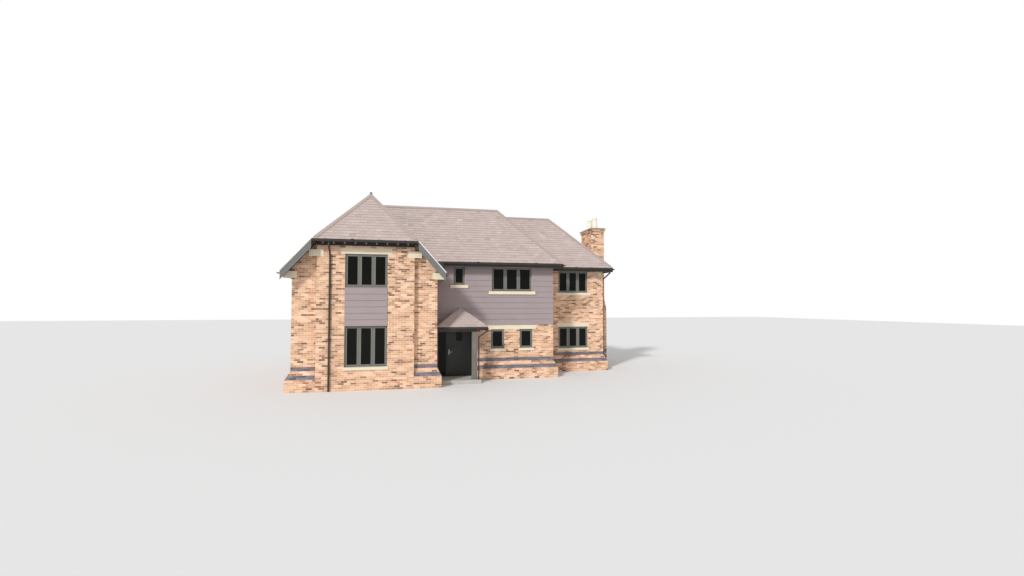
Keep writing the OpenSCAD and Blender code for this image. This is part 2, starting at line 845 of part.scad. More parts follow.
// Part of a slab over a plan outline, so that hips and valleys are mitred upright
module over_plan(points) {
    intersection() {
        plan(points, wing_eave_z - 2 * roof_t, max(crown_z, wing_ridge_z) + roof_t);
        children();
    }
}

// Points that an outline has only where the crown stands above the wing ridge
function below_crown(points) = wing_above ? [] : points;

module wing_slope() {
    slab_x(xwr, wing_eave_z, -1, wing_pitch);
}

// Room for the chimney shaft in the slope and the soffit
module stack_hole() {
    block([x3 - 10, stack_y - stack_w / 2, shoulder_z + shoulder_h], [x3 + stack_d, stack_y + stack_w / 2, far]);
}

module main_roof_front() {
    color([0.56, 0.48, 0.44])
    union() {
        over_plan(concat([[valley_x, ymf], [xme, ymf], [xme - run, ymf + run], [crown_x, ymf + run]],
            below_crown([[wing_x, ridge_end_f]])))
            slab_y(ymf, main_eave_z, 1, main_pitch);
        over_plan([[xme, yrf], [xre, yrf], [xre - run, yrf + run], [xme - run, yrf + run]])
            slab_y(yrf, main_eave_z, 1, main_pitch);
    }
}

module main_roof_right() {
    color([0.56, 0.48, 0.44])
    difference() {
        union() {
            over_plan([[xme, ymf], [xme, yrf], [xme - run, yrf + run], [xme - run, ymf + run]])
                slab_x(xme, main_eave_z, -1, main_pitch);
            over_plan([[xre, yrf], [xre, ymr], [xre - run, ymr - run], [xre - run, yrf + run]])
                slab_x(xre, main_eave_z, -1, main_pitch);
        }
        stack_hole();
    }
}

module main_roof_rear() {
    color([0.56, 0.48, 0.44])
    over_plan(concat([[xre, ymr], [valley_x, ymr]], below_crown([[wing_x, ridge_end_r]]),
        [[crown_x, ymr - run], [xre - run, ymr - run]]))
        slab_y(ymr, main_eave_z, -1, main_pitch);
}

module roof_crown() {
    color([0.42, 0.42, 0.43])
    plan([[crown_x, ymf + run], [xme - run, ymf + run], [xme - run, yrf + run], [xre - run, yrf + run],
        [xre - run, ymr - run], [crown_x, ymr - run]], crown_z - roof_t, crown_z);
}

module left_roof() {
    color([0.56, 0.48, 0.44])
    over_plan(concat([[xwl, yvf], [xwl + half_in, yvf], [wing_x, yvf + half_run]],
        below_crown([[wing_x, ridge_end_f], [crown_x, ymf + run], [crown_x, ymr - run], [wing_x, ridge_end_r]]),
        [[wing_x, yvr - half_run], [xwl + half_in, yvr], [xwl, yvr]]))
        slab_x(xwl, wing_eave_z, 1, wing_pitch);
}

// Right slope of the wing. Its foot tucks under the main eaves as far as the boarded wall. Where the
// wing ridge stands above the crown it is one piece, and otherwise the main roof parts it.
module wing_roof_right() {
    tuck_x = xwr - (main_eave_z - main_drop - wing_eave_z) / wing_rise + 5;
    front = [[wing_x, yvf + half_run], [xwr - half_in, yvf], [xwr, yvf], [xwr, y1], [tuck_x, y1],
        [tuck_x, ymf], [valley_x, ymf]];
    rear = [[valley_r_x - bed, yvr], [xwr - half_in, yvr], [wing_x, yvr - half_run]];
    color([0.56, 0.48, 0.44])
    if (wing_above)
        over_plan(concat(front, [[crown_x, ymf + run], [crown_x, ymr - run]], rear)) wing_slope();
    else union() {
        over_plan(concat(front, [[wing_x, ridge_end_f]])) wing_slope();
        over_plan(concat([[wing_x, ridge_end_r + bed]], rear)) wing_slope();
    }
}

// One half-hip. Past the wall only tiles and battens run on, over the open eaves.
module half_hip(ye, dir) {
    edge = tile_t / cos(hip_pitch);
    difference() {
        over_plan([[xwl + half_in, ye], [xwr - half_in, ye], [wing_x, ye + dir * half_run]])
            slab_y(ye, half_eave_z, dir, hip_pitch);
        intersection() {
            slab_y(ye, half_eave_z - edge, dir, hip_pitch);
            block([xwl, min(ye, ye + dir * verge_over), ground], [xwr, max(ye, ye + dir * verge_over), far]);
        }
    }
}

module half_hips() {
    color([0.56, 0.48, 0.44])
    union() {
        half_hip(yvf, 1);
        half_hip(yvr, -1);
    }
}

// Outward normals of the roof planes
N_FRONT = [0, -sin(main_pitch), cos(main_pitch)];
N_REAR = [0, sin(main_pitch), cos(main_pitch)];
N_END = [sin(main_pitch), 0, cos(main_pitch)];
N_WING_L = [-sin(wing_pitch), 0, cos(wing_pitch)];
N_WING_R = [sin(wing_pitch), 0, cos(wing_pitch)];
N_HALF_F = [0, -sin(hip_pitch), cos(hip_pitch)];
N_HALF_R = [0, sin(hip_pitch), cos(hip_pitch)];
N_CROWN = [0, 0, 1];
// mortar joint between two rows
joint = 6;
// length left free where a ridge runs into a valley
valley_gap = 1.5 * ridge_w;
// where the rows along the crown start beside the wing
row_x = crown_x + valley_gap;

// Ridges and hips: from, to, plane on the left of that direction, plane on the right
function ridge_lines() = concat([
    [[xwl + half_in, yvf, half_eave_z], [wing_x, yvf + half_run, wing_ridge_z], N_WING_L, N_HALF_F],
    [[xwr - half_in, yvf, half_eave_z], [wing_x, yvf + half_run, wing_ridge_z], N_HALF_F, N_WING_R],
    [[xwl + half_in, yvr, half_eave_z], [wing_x, yvr - half_run, wing_ridge_z], N_HALF_R, N_WING_L],
    [[xwr - half_in, yvr, half_eave_z], [wing_x, yvr - half_run, wing_ridge_z], N_WING_R, N_HALF_R],
    [[xme, ymf, main_eave_z], [xme - run, ymf + run, crown_z], N_FRONT, N_END],
    [[xre, yrf, main_eave_z], [xre - run, yrf + run, crown_z], N_FRONT, N_END],
    [[xre, ymr, main_eave_z], [xre - run, ymr - run, crown_z], N_END, N_REAR],
    [[row_x, ymf + run, crown_z], [xme - run, ymf + run, crown_z], N_CROWN, N_FRONT],
    [[xme - run, yrf + run - valley_gap, crown_z], [xme - run, ymf + run, crown_z], N_END, N_CROWN],
    [[xme - run + valley_gap, yrf + run, crown_z], [xre - run, yrf + run, crown_z], N_CROWN, N_FRONT],
    [[xre - run, yrf + run, crown_z], [xre - run, ymr - run, crown_z], N_CROWN, N_END],
    [[xre - run, ymr - run, crown_z], [row_x, ymr - run, crown_z], N_CROWN, N_REAR]
], wing_above ? [
    [[wing_x, yvr - half_run, wing_ridge_z], [wing_x, yvf + half_run, wing_ridge_z], N_WING_R, N_WING_L]
] : [
    [[wing_x, ridge_end_f - valley_gap, wing_ridge_z], [wing_x, yvf + half_run, wing_ridge_z],
        N_WING_R, N_WING_L],
    [[wing_x, ridge_end_r + valley_gap, wing_ridge_z], [wing_x, yvr - half_run, wing_ridge_z],
        N_WING_L, N_WING_R],
    [[crown_x, ymr - run, crown_z], [crown_x, ymf + run, crown_z], N_CROWN, N_WING_L]
]);

// Row of angled tiles bedded on the two planes that meet along a line
module ridge_row(l) {
    d = l[1] - l[0];
    turn = atan2(d.y, d.x);
    climb = atan2(d.z, norm([d.x, d.y]));
    up = [-cos(turn) * sin(climb), -sin(turn) * sin(climb), cos(climb)];
    fall_l = acos(l[2] * up);
    fall_r = acos(l[3] * up);
    start = climb > 1 ? ridge_w : 0;
    foot_l = ridge_w * [cos(fall_l), -sin(fall_l)];
    foot_r = ridge_w * [-cos(fall_r), -sin(fall_r)];
    translate(l[0] + [0, 0, bed]) rotate(turn) rotate([0, -climb, 0])
        sideways([[0, 0], foot_l, foot_l + ridge_t * [sin(fall_l), cos(fall_l)],
            ridge_t / sin(fall_l + fall_r) * [cos(fall_r) - cos(fall_l), sin(fall_l) + sin(fall_r)],
            foot_r + ridge_t * [-sin(fall_r), cos(fall_r)], foot_r], start, norm(d));
}

// Direction in plan from one end of a line towards the other
function heading(l, k) = let (d = l[1 - k] - l[k], p = [d.x, d.y]) p / norm(p);

// Takes off what lies nearer to a neighbouring row than to this one
module mitre(p, own, other) {
    n = own - other;
    translate(p) rotate(atan2(n.y, n.x)) block([-far, -far, -far], [joint / 2, far, far]);
}

module ridge_tiles() {
    lines = ridge_lines();
    color([0.52, 0.44, 0.40])
    for (l = lines) difference() {
        ridge_row(l);
        for (k = [0, 1]) for (m = lines) for (j = [0, 1])
            if (m != l && norm(m[j] - l[k]) < joint) mitre(l[k], heading(l, k), heading(m, j));
    }
}

module bargeboards() {
    low = wing_eave_z - 10;
    deep = barge_d / cos(wing_pitch);
    color([0.72, 0.72, 0.71])
    for (place = [[yvf - barge_t, -1], [yvf - barge_t, 1], [yvr, -1]])
        mirror_about(wing_x, place[1])
            upright([[wing_x - xwl, low], [wing_x - xwl - half_in + 15, low + (half_in - 15) * wing_rise],
                [wing_x - xwl - half_in + 15, low + (half_in - 15) * wing_rise - deep],
                [wing_x - xwl, low - deep]], place[0], place[0] + barge_t);
}

// Boards under the main eaves, and the upright board behind the rafter ends over the bay
module eaves_soffit() {
    z0 = soffit_z;
    z1 = soffit_z + soffit_t;
    gap = (z1 - main_eave_z + main_drop) / main_rise + 5;
    color([0.45, 0.43, 0.41])
    union() {
        block([xwr, ymf + gap, z0], [xme - gap, y1, z1]);
        block([x2, y1, z0], [xme - gap, yrf + gap, z1]);
        block([x2, yrf + gap, z0], [xre - gap, y2, z1]);
        difference() {
            block([x3, y2, z0], [xre - gap, y3, z1]);
            stack_hole();
        }
        block([xwr, y3, z0], [xre - gap, ymr - gap, z1]);
        intersection() {
            upright(gable_points(), y0 - bay_out, y0 - bay_out + soffit_t);
            block([wing_x - bay_w / 2, y0 - bay_out, gable_z], [wing_x + bay_w / 2, y0, far]);
        }
    }
}

// Rafter ends under the tiles of one half-hip, from its eave to the wall, cut plumb behind the gutter
module rafter_row(ye, dir) {
    under = half_eave_z - tile_t / cos(hip_pitch) - bed;
    tip = ye + dir * foot_in;
    root = ye + dir * verge_over;
    tip_z = under + foot_in * hip_rise;
    root_z = under + verge_over * hip_rise;
    for (i = [0:foot_count - 1]) intersection() {
        translate([wing_x + (i - (foot_count - 1) / 2) * foot_pitch, 0, 0])
            sideways([[tip, tip_z], [tip, tip_z - foot_h], [root, root_z - foot_h], [root, root_z]],
                -foot_w / 2, foot_w / 2);
        plan([[xwl + half_in + foot_in, ye], [xwr - half_in - foot_in, ye],
            [wing_x, ye + dir * (half_run - foot_in)]], ground, far);
    }
}

module rafter_feet() {
    color([0.66, 0.62, 0.56])
    union() {
        rafter_row(yvf, 1);
        rafter_row(yvr, -1);
    }
}

module gutter(p, turn, len) {
    translate(p + [0, 0, gutter_lift]) rotate(turn) rotate([90, 0, 90]) linear_extrude(len)
        translate([-gutter_r, -gutter_r]) difference() {
            circle(gutter_r, $fn = curve);
            circle(gutter_r - gutter_t, $fn = curve);
            translate([-gutter_r - 1, 0]) square(2 * gutter_r + 2);
        }
}

module gutters() {
    stack_a = stack_y - stack_w / 2;
    stack_b = stack_y + stack_w / 2;
    color([0.16, 0.15, 0.15])
    union() {
        gutter([xwl + half_in, yvf, half_eave_z], 0, xwr - xwl - 2 * half_in);
        gutter([xwr, ymf, main_eave_z], 0, xme - xwr);
        gutter([xme, ymf, main_eave_z], 90, yrf - ymf - 2 * gutter_r);
        gutter([xme + gutter_r, yrf, main_eave_z], 0, xre - xme - gutter_r);
        gutter([xre, yrf, main_eave_z], 90, stack_a - yrf);
        gutter([xre, stack_b, main_eave_z], 90, ymr - stack_b);
        gutter([xre, ymr, main_eave_z], 180, xre - valley_x);
        gutter([xwl, yvr, wing_eave_z], 270, yvr - yvf);
        gutter([xwr, yvf, wing_eave_z], 90, y1 - clad_t - yvf);
        gutter([x1, porch_y, porch_z], 0, porch_w);
    }
}

// Pipe through a chain of points, with a socket at each bend
module pipe(points, r) {
    last = len(points) - 1;
    for (i = [1:last]) rod(points[i - 1], points[i], r);
    for (i = [1:last - 1]) translate(points[i]) sphere(r + 7, $fn = curve);
}

// Point under the middle of a gutter trough
function outlet(x, y, eave) = [x, y - gutter_r, eave + gutter_lift - 2 * gutter_r];

module downpipes() {
    off = pipe_r + pipe_gap;
    bay_top = outlet(wing_x - bay_w / 2 + bay_pipe_in, yvf, half_eave_z);
    bay_p = [bay_top.x, y0 - bay_out - off, ground];
    end_top = [xre + gutter_r, y2 + end_pipe_in, main_eave_z + gutter_lift - 2 * gutter_r];
    end_p = [x3 + off, end_top.y, ground];
    porch_top = outlet(porch_x1 - porch_pipe_in, porch_y, porch_z);
    porch_p = [post_x + post_w / 2 + off - 5, porch_top.y, floor_z];
    color([0.16, 0.15, 0.15])
    union() {
        pipe([bay_p, [bay_p.x, bay_p.y, bay_top.z - neck_h], bay_top - [0, 0, stub_h], bay_top], pipe_r);
        pipe([end_top, end_top - [0, 0, stub_h], [end_p.x, end_p.y, end_top.z - neck_h],
            [end_p.x, end_p.y, splay_z + 70], [end_p.x + bay_out, end_p.y, plinth_z - 20],
            [end_p.x + bay_out, end_p.y, ground]], pipe_r);
        pipe([porch_p, [porch_p.x, porch_p.y, porch_top.z - porch_neck_h],
            porch_top - [0, 0, porch_stub_h], porch_top], porch_pipe_r);
    }
}

// Breast, tumbled shoulders, shaft, two corbel courses and a weathered stone cap
module chimney_stack() {
    half = stack_w / 2;
    breast = breast_w / 2;
    neck = cap_z - cap_t;
    fall = 30;
    color([0.78, 0.56, 0.40])
    union() {
        translate([0, stack_y, 0]) sideways([[-breast, ground], [breast, ground], [breast, shoulder_z],
            [half, shoulder_z + shoulder_h], [half, neck], [-half, neck],
            [-half, shoulder_z + shoulder_h], [-breast, shoulder_z]], x3, x3 + stack_d);
        for (i = [1, 2]) let (out = i * cap_over / 3)
            block([x3 - out, stack_y - half - out, neck - (3 - i) * corbel_h],
                [x3 + stack_d + out, stack_y + half + out, neck]);
        intersection() {
            translate([0, stack_y, 0]) sideways([[-half - cap_over, neck], [half + cap_over, neck],
                [half + cap_over, cap_z - fall], [half, cap_z], [-half, cap_z], [-half - cap_over, cap_z - fall]],
                x3 - cap_over, x3 + stack_d + cap_over);
            upright([[x3 - cap_over, neck], [x3 + stack_d + cap_over, neck], [x3 + stack_d + cap_over, cap_z - fall],
                [x3 + stack_d, cap_z], [x3, cap_z], [x3 - cap_over, cap_z - fall]],
                stack_y - half - cap_over, stack_y + half + cap_over);
        }
    }
}

// Tapered pots with a foot ring and a rolled rim
module chimney_pots() {
    wall = 25;
    color([0.88, 0.80, 0.62])
    for (side = [-1, 1]) translate([x3 + stack_d / 2, stack_y + side * stack_w / 4, cap_z])
        rotate_extrude($fn = curve) polygon([
            [pot_top_r - wall, 0], [pot_r, 0], [pot_r, 60], [pot_r - 15, 70], [pot_top_r, pot_h - 70],
            [pot_top_r + 18, pot_h - 60], [pot_top_r + 18, pot_h], [pot_top_r - wall, pot_h]]);
}

ground_floor();
first_floor();
entrance_step();
wing_front_wall();
wing_side_wall();
left_wall();
entrance_wall();
middle_front_wall();
setback_wall();
right_front_wall();
right_wall();
rear_wall();
brick_plinth();
front_cladding();
bay_panel();
stone_lintels();
stone_sills();
kneeler_stones();
lower_window_frames();
upper_window_frames();
lower_window_glass();
upper_window_glass();
entrance_frame();
sidelight_glass();
front_door();
door_pane();
door_handle();
porch_roof();
porch_beams();
porch_post();
main_roof_front();
main_roof_right();
main_roof_rear();
roof_crown();
left_roof();
wing_roof_right();
half_hips();
ridge_tiles();
bargeboards();
eaves_soffit();
rafter_feet();
gutters();
downpipes();
chimney_stack();
chimney_pots();
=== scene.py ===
"""Dresses the detached brick house: facing bricks, roof tiles, boarding, joinery and rainwater goods.

Everything is in metres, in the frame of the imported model: X runs along the front, the front faces -Y and
Z is up.
"""

import logging
import math
import random
from dataclasses import dataclass, field
from enum import Enum

import bmesh
import bpy
import numpy as np
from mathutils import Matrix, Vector


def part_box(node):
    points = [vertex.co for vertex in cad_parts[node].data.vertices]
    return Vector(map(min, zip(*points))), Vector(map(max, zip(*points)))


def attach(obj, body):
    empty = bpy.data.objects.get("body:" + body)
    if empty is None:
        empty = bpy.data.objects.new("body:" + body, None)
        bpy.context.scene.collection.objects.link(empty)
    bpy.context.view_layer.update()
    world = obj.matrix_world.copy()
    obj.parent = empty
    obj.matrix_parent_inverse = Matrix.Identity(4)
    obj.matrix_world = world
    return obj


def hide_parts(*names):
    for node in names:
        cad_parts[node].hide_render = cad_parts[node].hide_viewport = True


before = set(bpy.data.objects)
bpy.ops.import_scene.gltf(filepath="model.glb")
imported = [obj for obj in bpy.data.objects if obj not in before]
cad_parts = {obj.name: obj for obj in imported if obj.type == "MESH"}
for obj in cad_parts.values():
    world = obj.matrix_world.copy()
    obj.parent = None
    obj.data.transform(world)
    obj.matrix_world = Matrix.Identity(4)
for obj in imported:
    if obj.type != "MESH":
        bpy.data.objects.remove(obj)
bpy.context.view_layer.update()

log = logging.getLogger("house")

Point2 = tuple[float, float]
Point3 = tuple[float, float, float]
Colour = tuple[float, float, float]
Shades = tuple[tuple[float, Colour], ...]
Outline = list[Point2]
Rect = tuple[float, float, float, float]
Face = tuple[int, ...]
Slope = tuple[list[Point3], Vector]
Node = bpy.types.Node
Socket = bpy.types.NodeSocket
Material = bpy.types.Material
Feeds = dict[str | int, Socket | Colour | float]

X, Y, Z = Vector((1, 0, 0)), Vector((0, 1, 0)), Vector((0, 0, 1))


class Body(Enum):
    """The rigid bodies that the small pieces ride on. None of them is on the door."""

    HOUSE = "house"


class Kind(Enum):
    """Whether a small piece is a plain one or belongs to a dark course."""

    PLAIN = 0.0
    BAND = 1.0


class Port(Enum):
    """Types of the sockets of a node group."""

    COLOUR = "NodeSocketColor"
    VALUE = "NodeSocketFloat"
    VECTOR = "NodeSocketVector"


# Without eq the plan stays hashable, as the default of a field has to be.
@dataclass(eq=False)
class HousePlan:
    """Main lines of the house, in metres, and the lines that follow from them."""

    x0: float = -6.8
    x1: float = -1.5
    x2: float = 3.7
    x3: float = 6.8
    y0: float = -4.7
    y1: float = -3.1
    y2: float = -1.4
    y3: float = 4.7
    bay_out: float = 0.17
    bay_half: float = 1.77
    floor_z: float = 0.15
    plinth_z: float = 0.45
    splay_z: float = 0.75
    wing_eave_z: float = 4.41
    half_eave_z: float = 5.6
    main_eave_z: float = 5.0
    crown_z: float = 7.78
    main_pitch: float = math.radians(47.5)
    wing_pitch: float = math.radians(48.5)
    hip_pitch: float = math.radians(49.0)
    roof_t: float = 0.13
    main_over: float = 0.38
    wing_over: float = 0.30
    verge_over: float = 0.30
    clad_t: float = 0.035
    clad_z: float = 2.33
    soffit_z: float = 4.86
    door_x0: float = -1.4
    door_x1: float = 0.1
    door_head_z: float = 2.25
    reveal: float = 0.05
    porch_x1: float = 0.615
    porch_y: float = -4.11
    porch_z: float = 2.28
    porch_rise: float = 0.79
    stack_y: float = 0.83
    stack_d: float = 0.72
    stack_w: float = 1.44
    breast_w: float = 1.94
    shoulder_z: float = 3.0
    cap_z: float = 7.29
    cap_t: float = 0.09
    cap_over: float = 0.07
    corbel_h: float = 0.075
    gutter_r: float = 0.057
    gutter_lift: float = 0.015
    barge_t: float = 0.025
    pipe_r: float = 0.034
    bay_pipe_r: float = 0.028
    pipe_gap: float = 0.016

    def __post_init__(self) -> None:
        """Works out the lines that follow from the sizes."""
        self.wing_x = (self.x0 + self.x1) / 2
        self.bay = self.wing_x - self.bay_half, self.wing_x + self.bay_half
        self.breast = self.stack_y - self.breast_w / 2, self.stack_y + self.breast_w / 2
        self.stack = self.stack_y - self.stack_w / 2, self.stack_y + self.stack_w / 2
        # Rise of the slopes, and the thickness of the wing's, measured upright.
        self.wing_rise, self.main_rise = math.tan(self.wing_pitch), math.tan(self.main_pitch)
        self.hip_rise = math.tan(self.hip_pitch)
        self.wing_skin = self.roof_t / math.cos(self.wing_pitch)
        # Eaves: left and right of the wing, right ends of the middle and right part, their fronts, the rear.
        self.xwl, self.xwr = self.x0 - self.wing_over, self.x1 + self.wing_over
        self.xme, self.xre = self.x2 + self.main_over, self.x3 + self.main_over
        self.ymf, self.yrf = self.y1 - self.main_over, self.y2 - self.main_over
        self.ymr = self.y3 + self.main_over
        # Front and rear verge of the wing.
        self.yvf, self.yvr = self.y0 - self.bay_out - self.verge_over, self.y3 + self.verge_over
        # Height of the wing ridge, and where it meets the front and the rear slope.
        self.ridge_z = self.wing_eave_z + (self.wing_x - self.xwl) * self.wing_rise
        reach = (self.ridge_z - self.main_eave_z) / self.main_rise
        self.ridge_front, self.ridge_rear = self.ymf + reach, self.ymr - reach
        # Plan depth of the main slopes and half-hips, and how far the eaves of the half-hips lie in.
        self.run = (self.crown_z - self.main_eave_z) / self.main_rise
        self.half_run = (self.ridge_z - self.half_eave_z) / self.hip_rise
        self.half_in = (self.half_eave_z - self.wing_eave_z) / self.wing_rise
        # Where the flat crown meets the left slope, the foot of the valleys, the rear valley at the verge.
        self.crown_x = self.xwl + (self.crown_z - self.wing_eave_z) / self.wing_rise
        self.valley_x = self.xwr - (self.main_eave_z - self.wing_eave_z) / self.wing_rise
        self.valley_rear_x = self.valley_x - (self.ymr - self.yvr) * self.main_rise / self.wing_rise
        # Level tops of the bay and of the wing's end walls, behind the open eaves.
        self.gable_z = self.half_eave_z - self.roof_t / math.cos(self.hip_pitch)
        self.wall_top_z = self.gable_z + self.verge_over * self.hip_rise

    def wing_top(self, x: float) -> float:
        """Gives the height of the wing's right slope at a place across the wing."""
        return self.wing_eave_z + (self.xwr - x) * self.wing_rise

    def wing_under(self, x: float) -> float:
        """Gives the height of the underside of the wing slopes at a place across the wing."""
        reach = x - self.xwl if x < self.wing_x else self.xwr - x
        return self.wing_eave_z - self.wing_skin + reach * self.wing_rise


PLAN = HousePlan()


@dataclass(frozen=True)
class Plane:
    """A flat patch with its own axes: u along, v up the patch, out away from it."""

    origin: Vector
    along: Vector
    up: Vector

    @property
    def out(self) -> Vector:
        """Direction away from the house."""
        return self.along.cross(self.up).normalized()

    def place(self, u: float, v: float, lift: float) -> Vector:
        """Gives the point that lies so far along, up and away from the patch."""
        return self.origin + self.along * u + self.up * v + self.out * lift

    def flat(self, point: Vector) -> Point2:
        """Gives the distances of a point along and up the patch."""
        offset = point - self.origin
        return offset.dot(self.along), offset.dot(self.up)


def corners(u0: float, v0: float, u1: float, v1: float) -> Outline:
    """Gives the corners of a rectangle, anticlockwise."""
    return [(u0, v0), (u1, v0), (u1, v1), (u0, v1)]


def clip(outline: Outline, a: Point2, b: Point2) -> Outline:
    """Keeps the part of a convex outline that lies to the left of a line.

    Args:
        outline: Corners in order.
        a: First point of the line.
        b: Second point of the line.

    Returns:
        The corners that are left.
    """
    kept: Outline = []
    sides = [(b[0] - a[0]) * (p[1] - a[1]) - (b[1] - a[1]) * (p[0] - a[0]) for p in outline]
    for p, q, sp, sq in zip(outline, outline[1:] + outline[:1], sides, sides[1:] + sides[:1]):
        if sp >= 0:
            kept.append(p)
        if sp * sq < 0:
            t = sp / (sp - sq)
            kept.append((p[0] + (q[0] - p[0]) * t, p[1] + (q[1] - p[1]) * t))
    return kept


def clip_to(outline: Outline, patch: Outline) -> Outline:
    """Keeps the part of a convex outline inside another, both anticlockwise.

    Args:
        outline: Corners to cut.
        patch: Corners of the patch that it has to stay in.

    Returns:
        The corners that are left, or none.
    """
    for a, b in zip(patch, patch[1:] + patch[:1]):
        outline = clip(outline, a, b)
        if len(outline) < 3:
            return []
    return outline


def area(outline: Outline) -> float:
    """Gives the area of an outline, positive if it runs anticlockwise."""
    return sum(p[0] * q[1] - q[0] * p[1] for p, q in zip(outline, outline[1:] + outline[:1])) / 2


def anticlockwise(outline: Outline) -> Outline:
    """Gives the same outline with its corners anticlockwise."""
    return outline if area(outline) > 0 else outline[::-1]


def around(part: Rect, hole: Rect) -> list[Rect]:
    """Cuts a hole out of a rectangle.

    Args:
        part: Near end, foot, far end and top of the rectangle.
        hole: The same of the hole.

    Returns:
        The rectangles that stay.
    """
    (u0, v0, u1, v1), (left, low, right, high) = part, hole
    if u1 <= left or u0 >= right or v1 <= low or v0 >= high:
        return [part]
    a, b = max(u0, left), min(u1, right)
    rests = [(u0, v0, left, v1), (right, v0, u1, v1), (a, v0, b, low), (a, high, b, v1)]
    return [rest for rest in rests if rest[0] < rest[2] and rest[1] < rest[3]]


def starts(us: tuple[float, ...], shift: float, step: float) -> list[float]:
    """Gives where the pieces of a row start that reaches all the places, from its shift and step."""
    first, last = math.floor((min(us) - shift) / step) - 1, math.ceil((max(us) - shift) / step) + 1
    return [shift + i * step for i in range(first, last)]


def belt(first: int, second: int, count: int) -> list[Face]:
    """Gives the faces between two rings with so many corners, numbered from the first of each."""
    return [(first + i, first + (i + 1) % count, second + (i + 1) % count, second + i) for i in range(count)]


def show(name: str, data: bpy.types.ID) -> bpy.types.Object:
    """Adds an object to the scene.

    Args:
        name: Its name.
        data: Its mesh, lamp or camera.

    Returns:
        The object.
    """
    thing = bpy.data.objects.new(name, data)
    bpy.context.scene.collection.objects.link(thing)
    return thing


def solids(node: str) -> list[tuple[Vector, Vector]]:
    """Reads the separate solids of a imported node.

    Args:
        node: Name of the node.

    Returns:
        Lowest and highest corner of each solid.
    """
    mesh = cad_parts[node].data
    points = np.array([v.co for v in mesh.vertices], dtype=float)
    merged = np.unique(points.round(5), axis=0, return_inverse=True)[1].reshape(-1)
    parent = list(range(int(merged.max()) + 1))

    def root(i: int) -> int:
        """Finds the first corner of a solid."""
        while parent[i] != i:
            parent[i] = parent[parent[i]]
            i = parent[i]
        return i

    for face in mesh.polygons:
        ids = [int(merged[v]) for v in face.vertices]
        for other in ids[1:]:
            parent[root(other)] = root(ids[0])
    groups: dict[int, list[int]] = {}
    for i, m in enumerate(merged):
        groups.setdefault(root(int(m)), []).append(i)
    return [(Vector(points[ids].min(0)), Vector(points[ids].max(0))) for _, ids in sorted(groups.items())]


class Shell:
    """Collects many small pieces and joins them into one mesh."""

    def __init__(self, name: str) -> None:
        """Starts an empty mesh with the name of the finished piece."""
        self.name = name
        self.points: list[Vector] = []
        self.faces: list[Face] = []
        self.tones: list[float] = []
        self.kinds: list[float] = []

    def add_faces(self, points: list[Vector], faces: list[Face], tone: float = 0.5,
                  kind: Kind = Kind.PLAIN) -> None:
        """Adds one small piece.

        Args:
            points: Its corners.
            faces: Its faces, as corner numbers.
            tone: Its own shade, 0 to 1.
            kind: Which kind of piece it is.
        """
        base = len(self.points)
        self.points.extend(points)
        self.faces.extend(tuple(base + i for i in face) for face in faces)
        self.tones.extend([tone] * len(faces))
        self.kinds.extend([kind.value] * len(faces))

    def add_prism(self, plane: Plane, outline: Outline, low: float, lifts: list[float], tone: float,
                  kind: Kind = Kind.PLAIN) -> None:
        """Adds a small prism that stands on a patch, without its back.

        Args:
            plane: The patch.
            outline: Corners on the patch, anticlockwise.
            low: Lift of the back.
            lifts: Lift of each front corner.
            tone: Its own shade, 0 to 1.
            kind: Which kind of piece it is.
        """
        count = len(outline)
        back = [plane.place(u, v, low) for u, v in outline]
        front = [plane.place(u, v, lift) for (u, v), lift in zip(outline, lifts)]
        self.add_faces(back + front, [tuple(range(count, 2 * count))] + belt(0, count, count), tone, kind)

    def build(self, material: Material, slot: str, body: Body = Body.HOUSE) -> bpy.types.Object:
        """Makes the mesh.

        Args:
            material: Its finish.
            slot: Not used.
            body: The body that it moves with.

        Returns:
            The new object.
        """
        mesh = bpy.data.meshes.new(self.name)
        mesh.from_pydata([tuple(p) for p in self.points], [], self.faces)
        for label, values in (("tone", self.tones), ("kind", self.kinds)):
            layer = mesh.attributes.new(label, "FLOAT", "FACE")
            layer.data.foreach_set("value", np.array(values, dtype=np.float32))
        mesh.update()
        piece = show(self.name, mesh)
        mesh.materials.append(material)
        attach(piece, body.value)
        log.info("%s: %d faces", self.name, len(self.faces))
        return piece


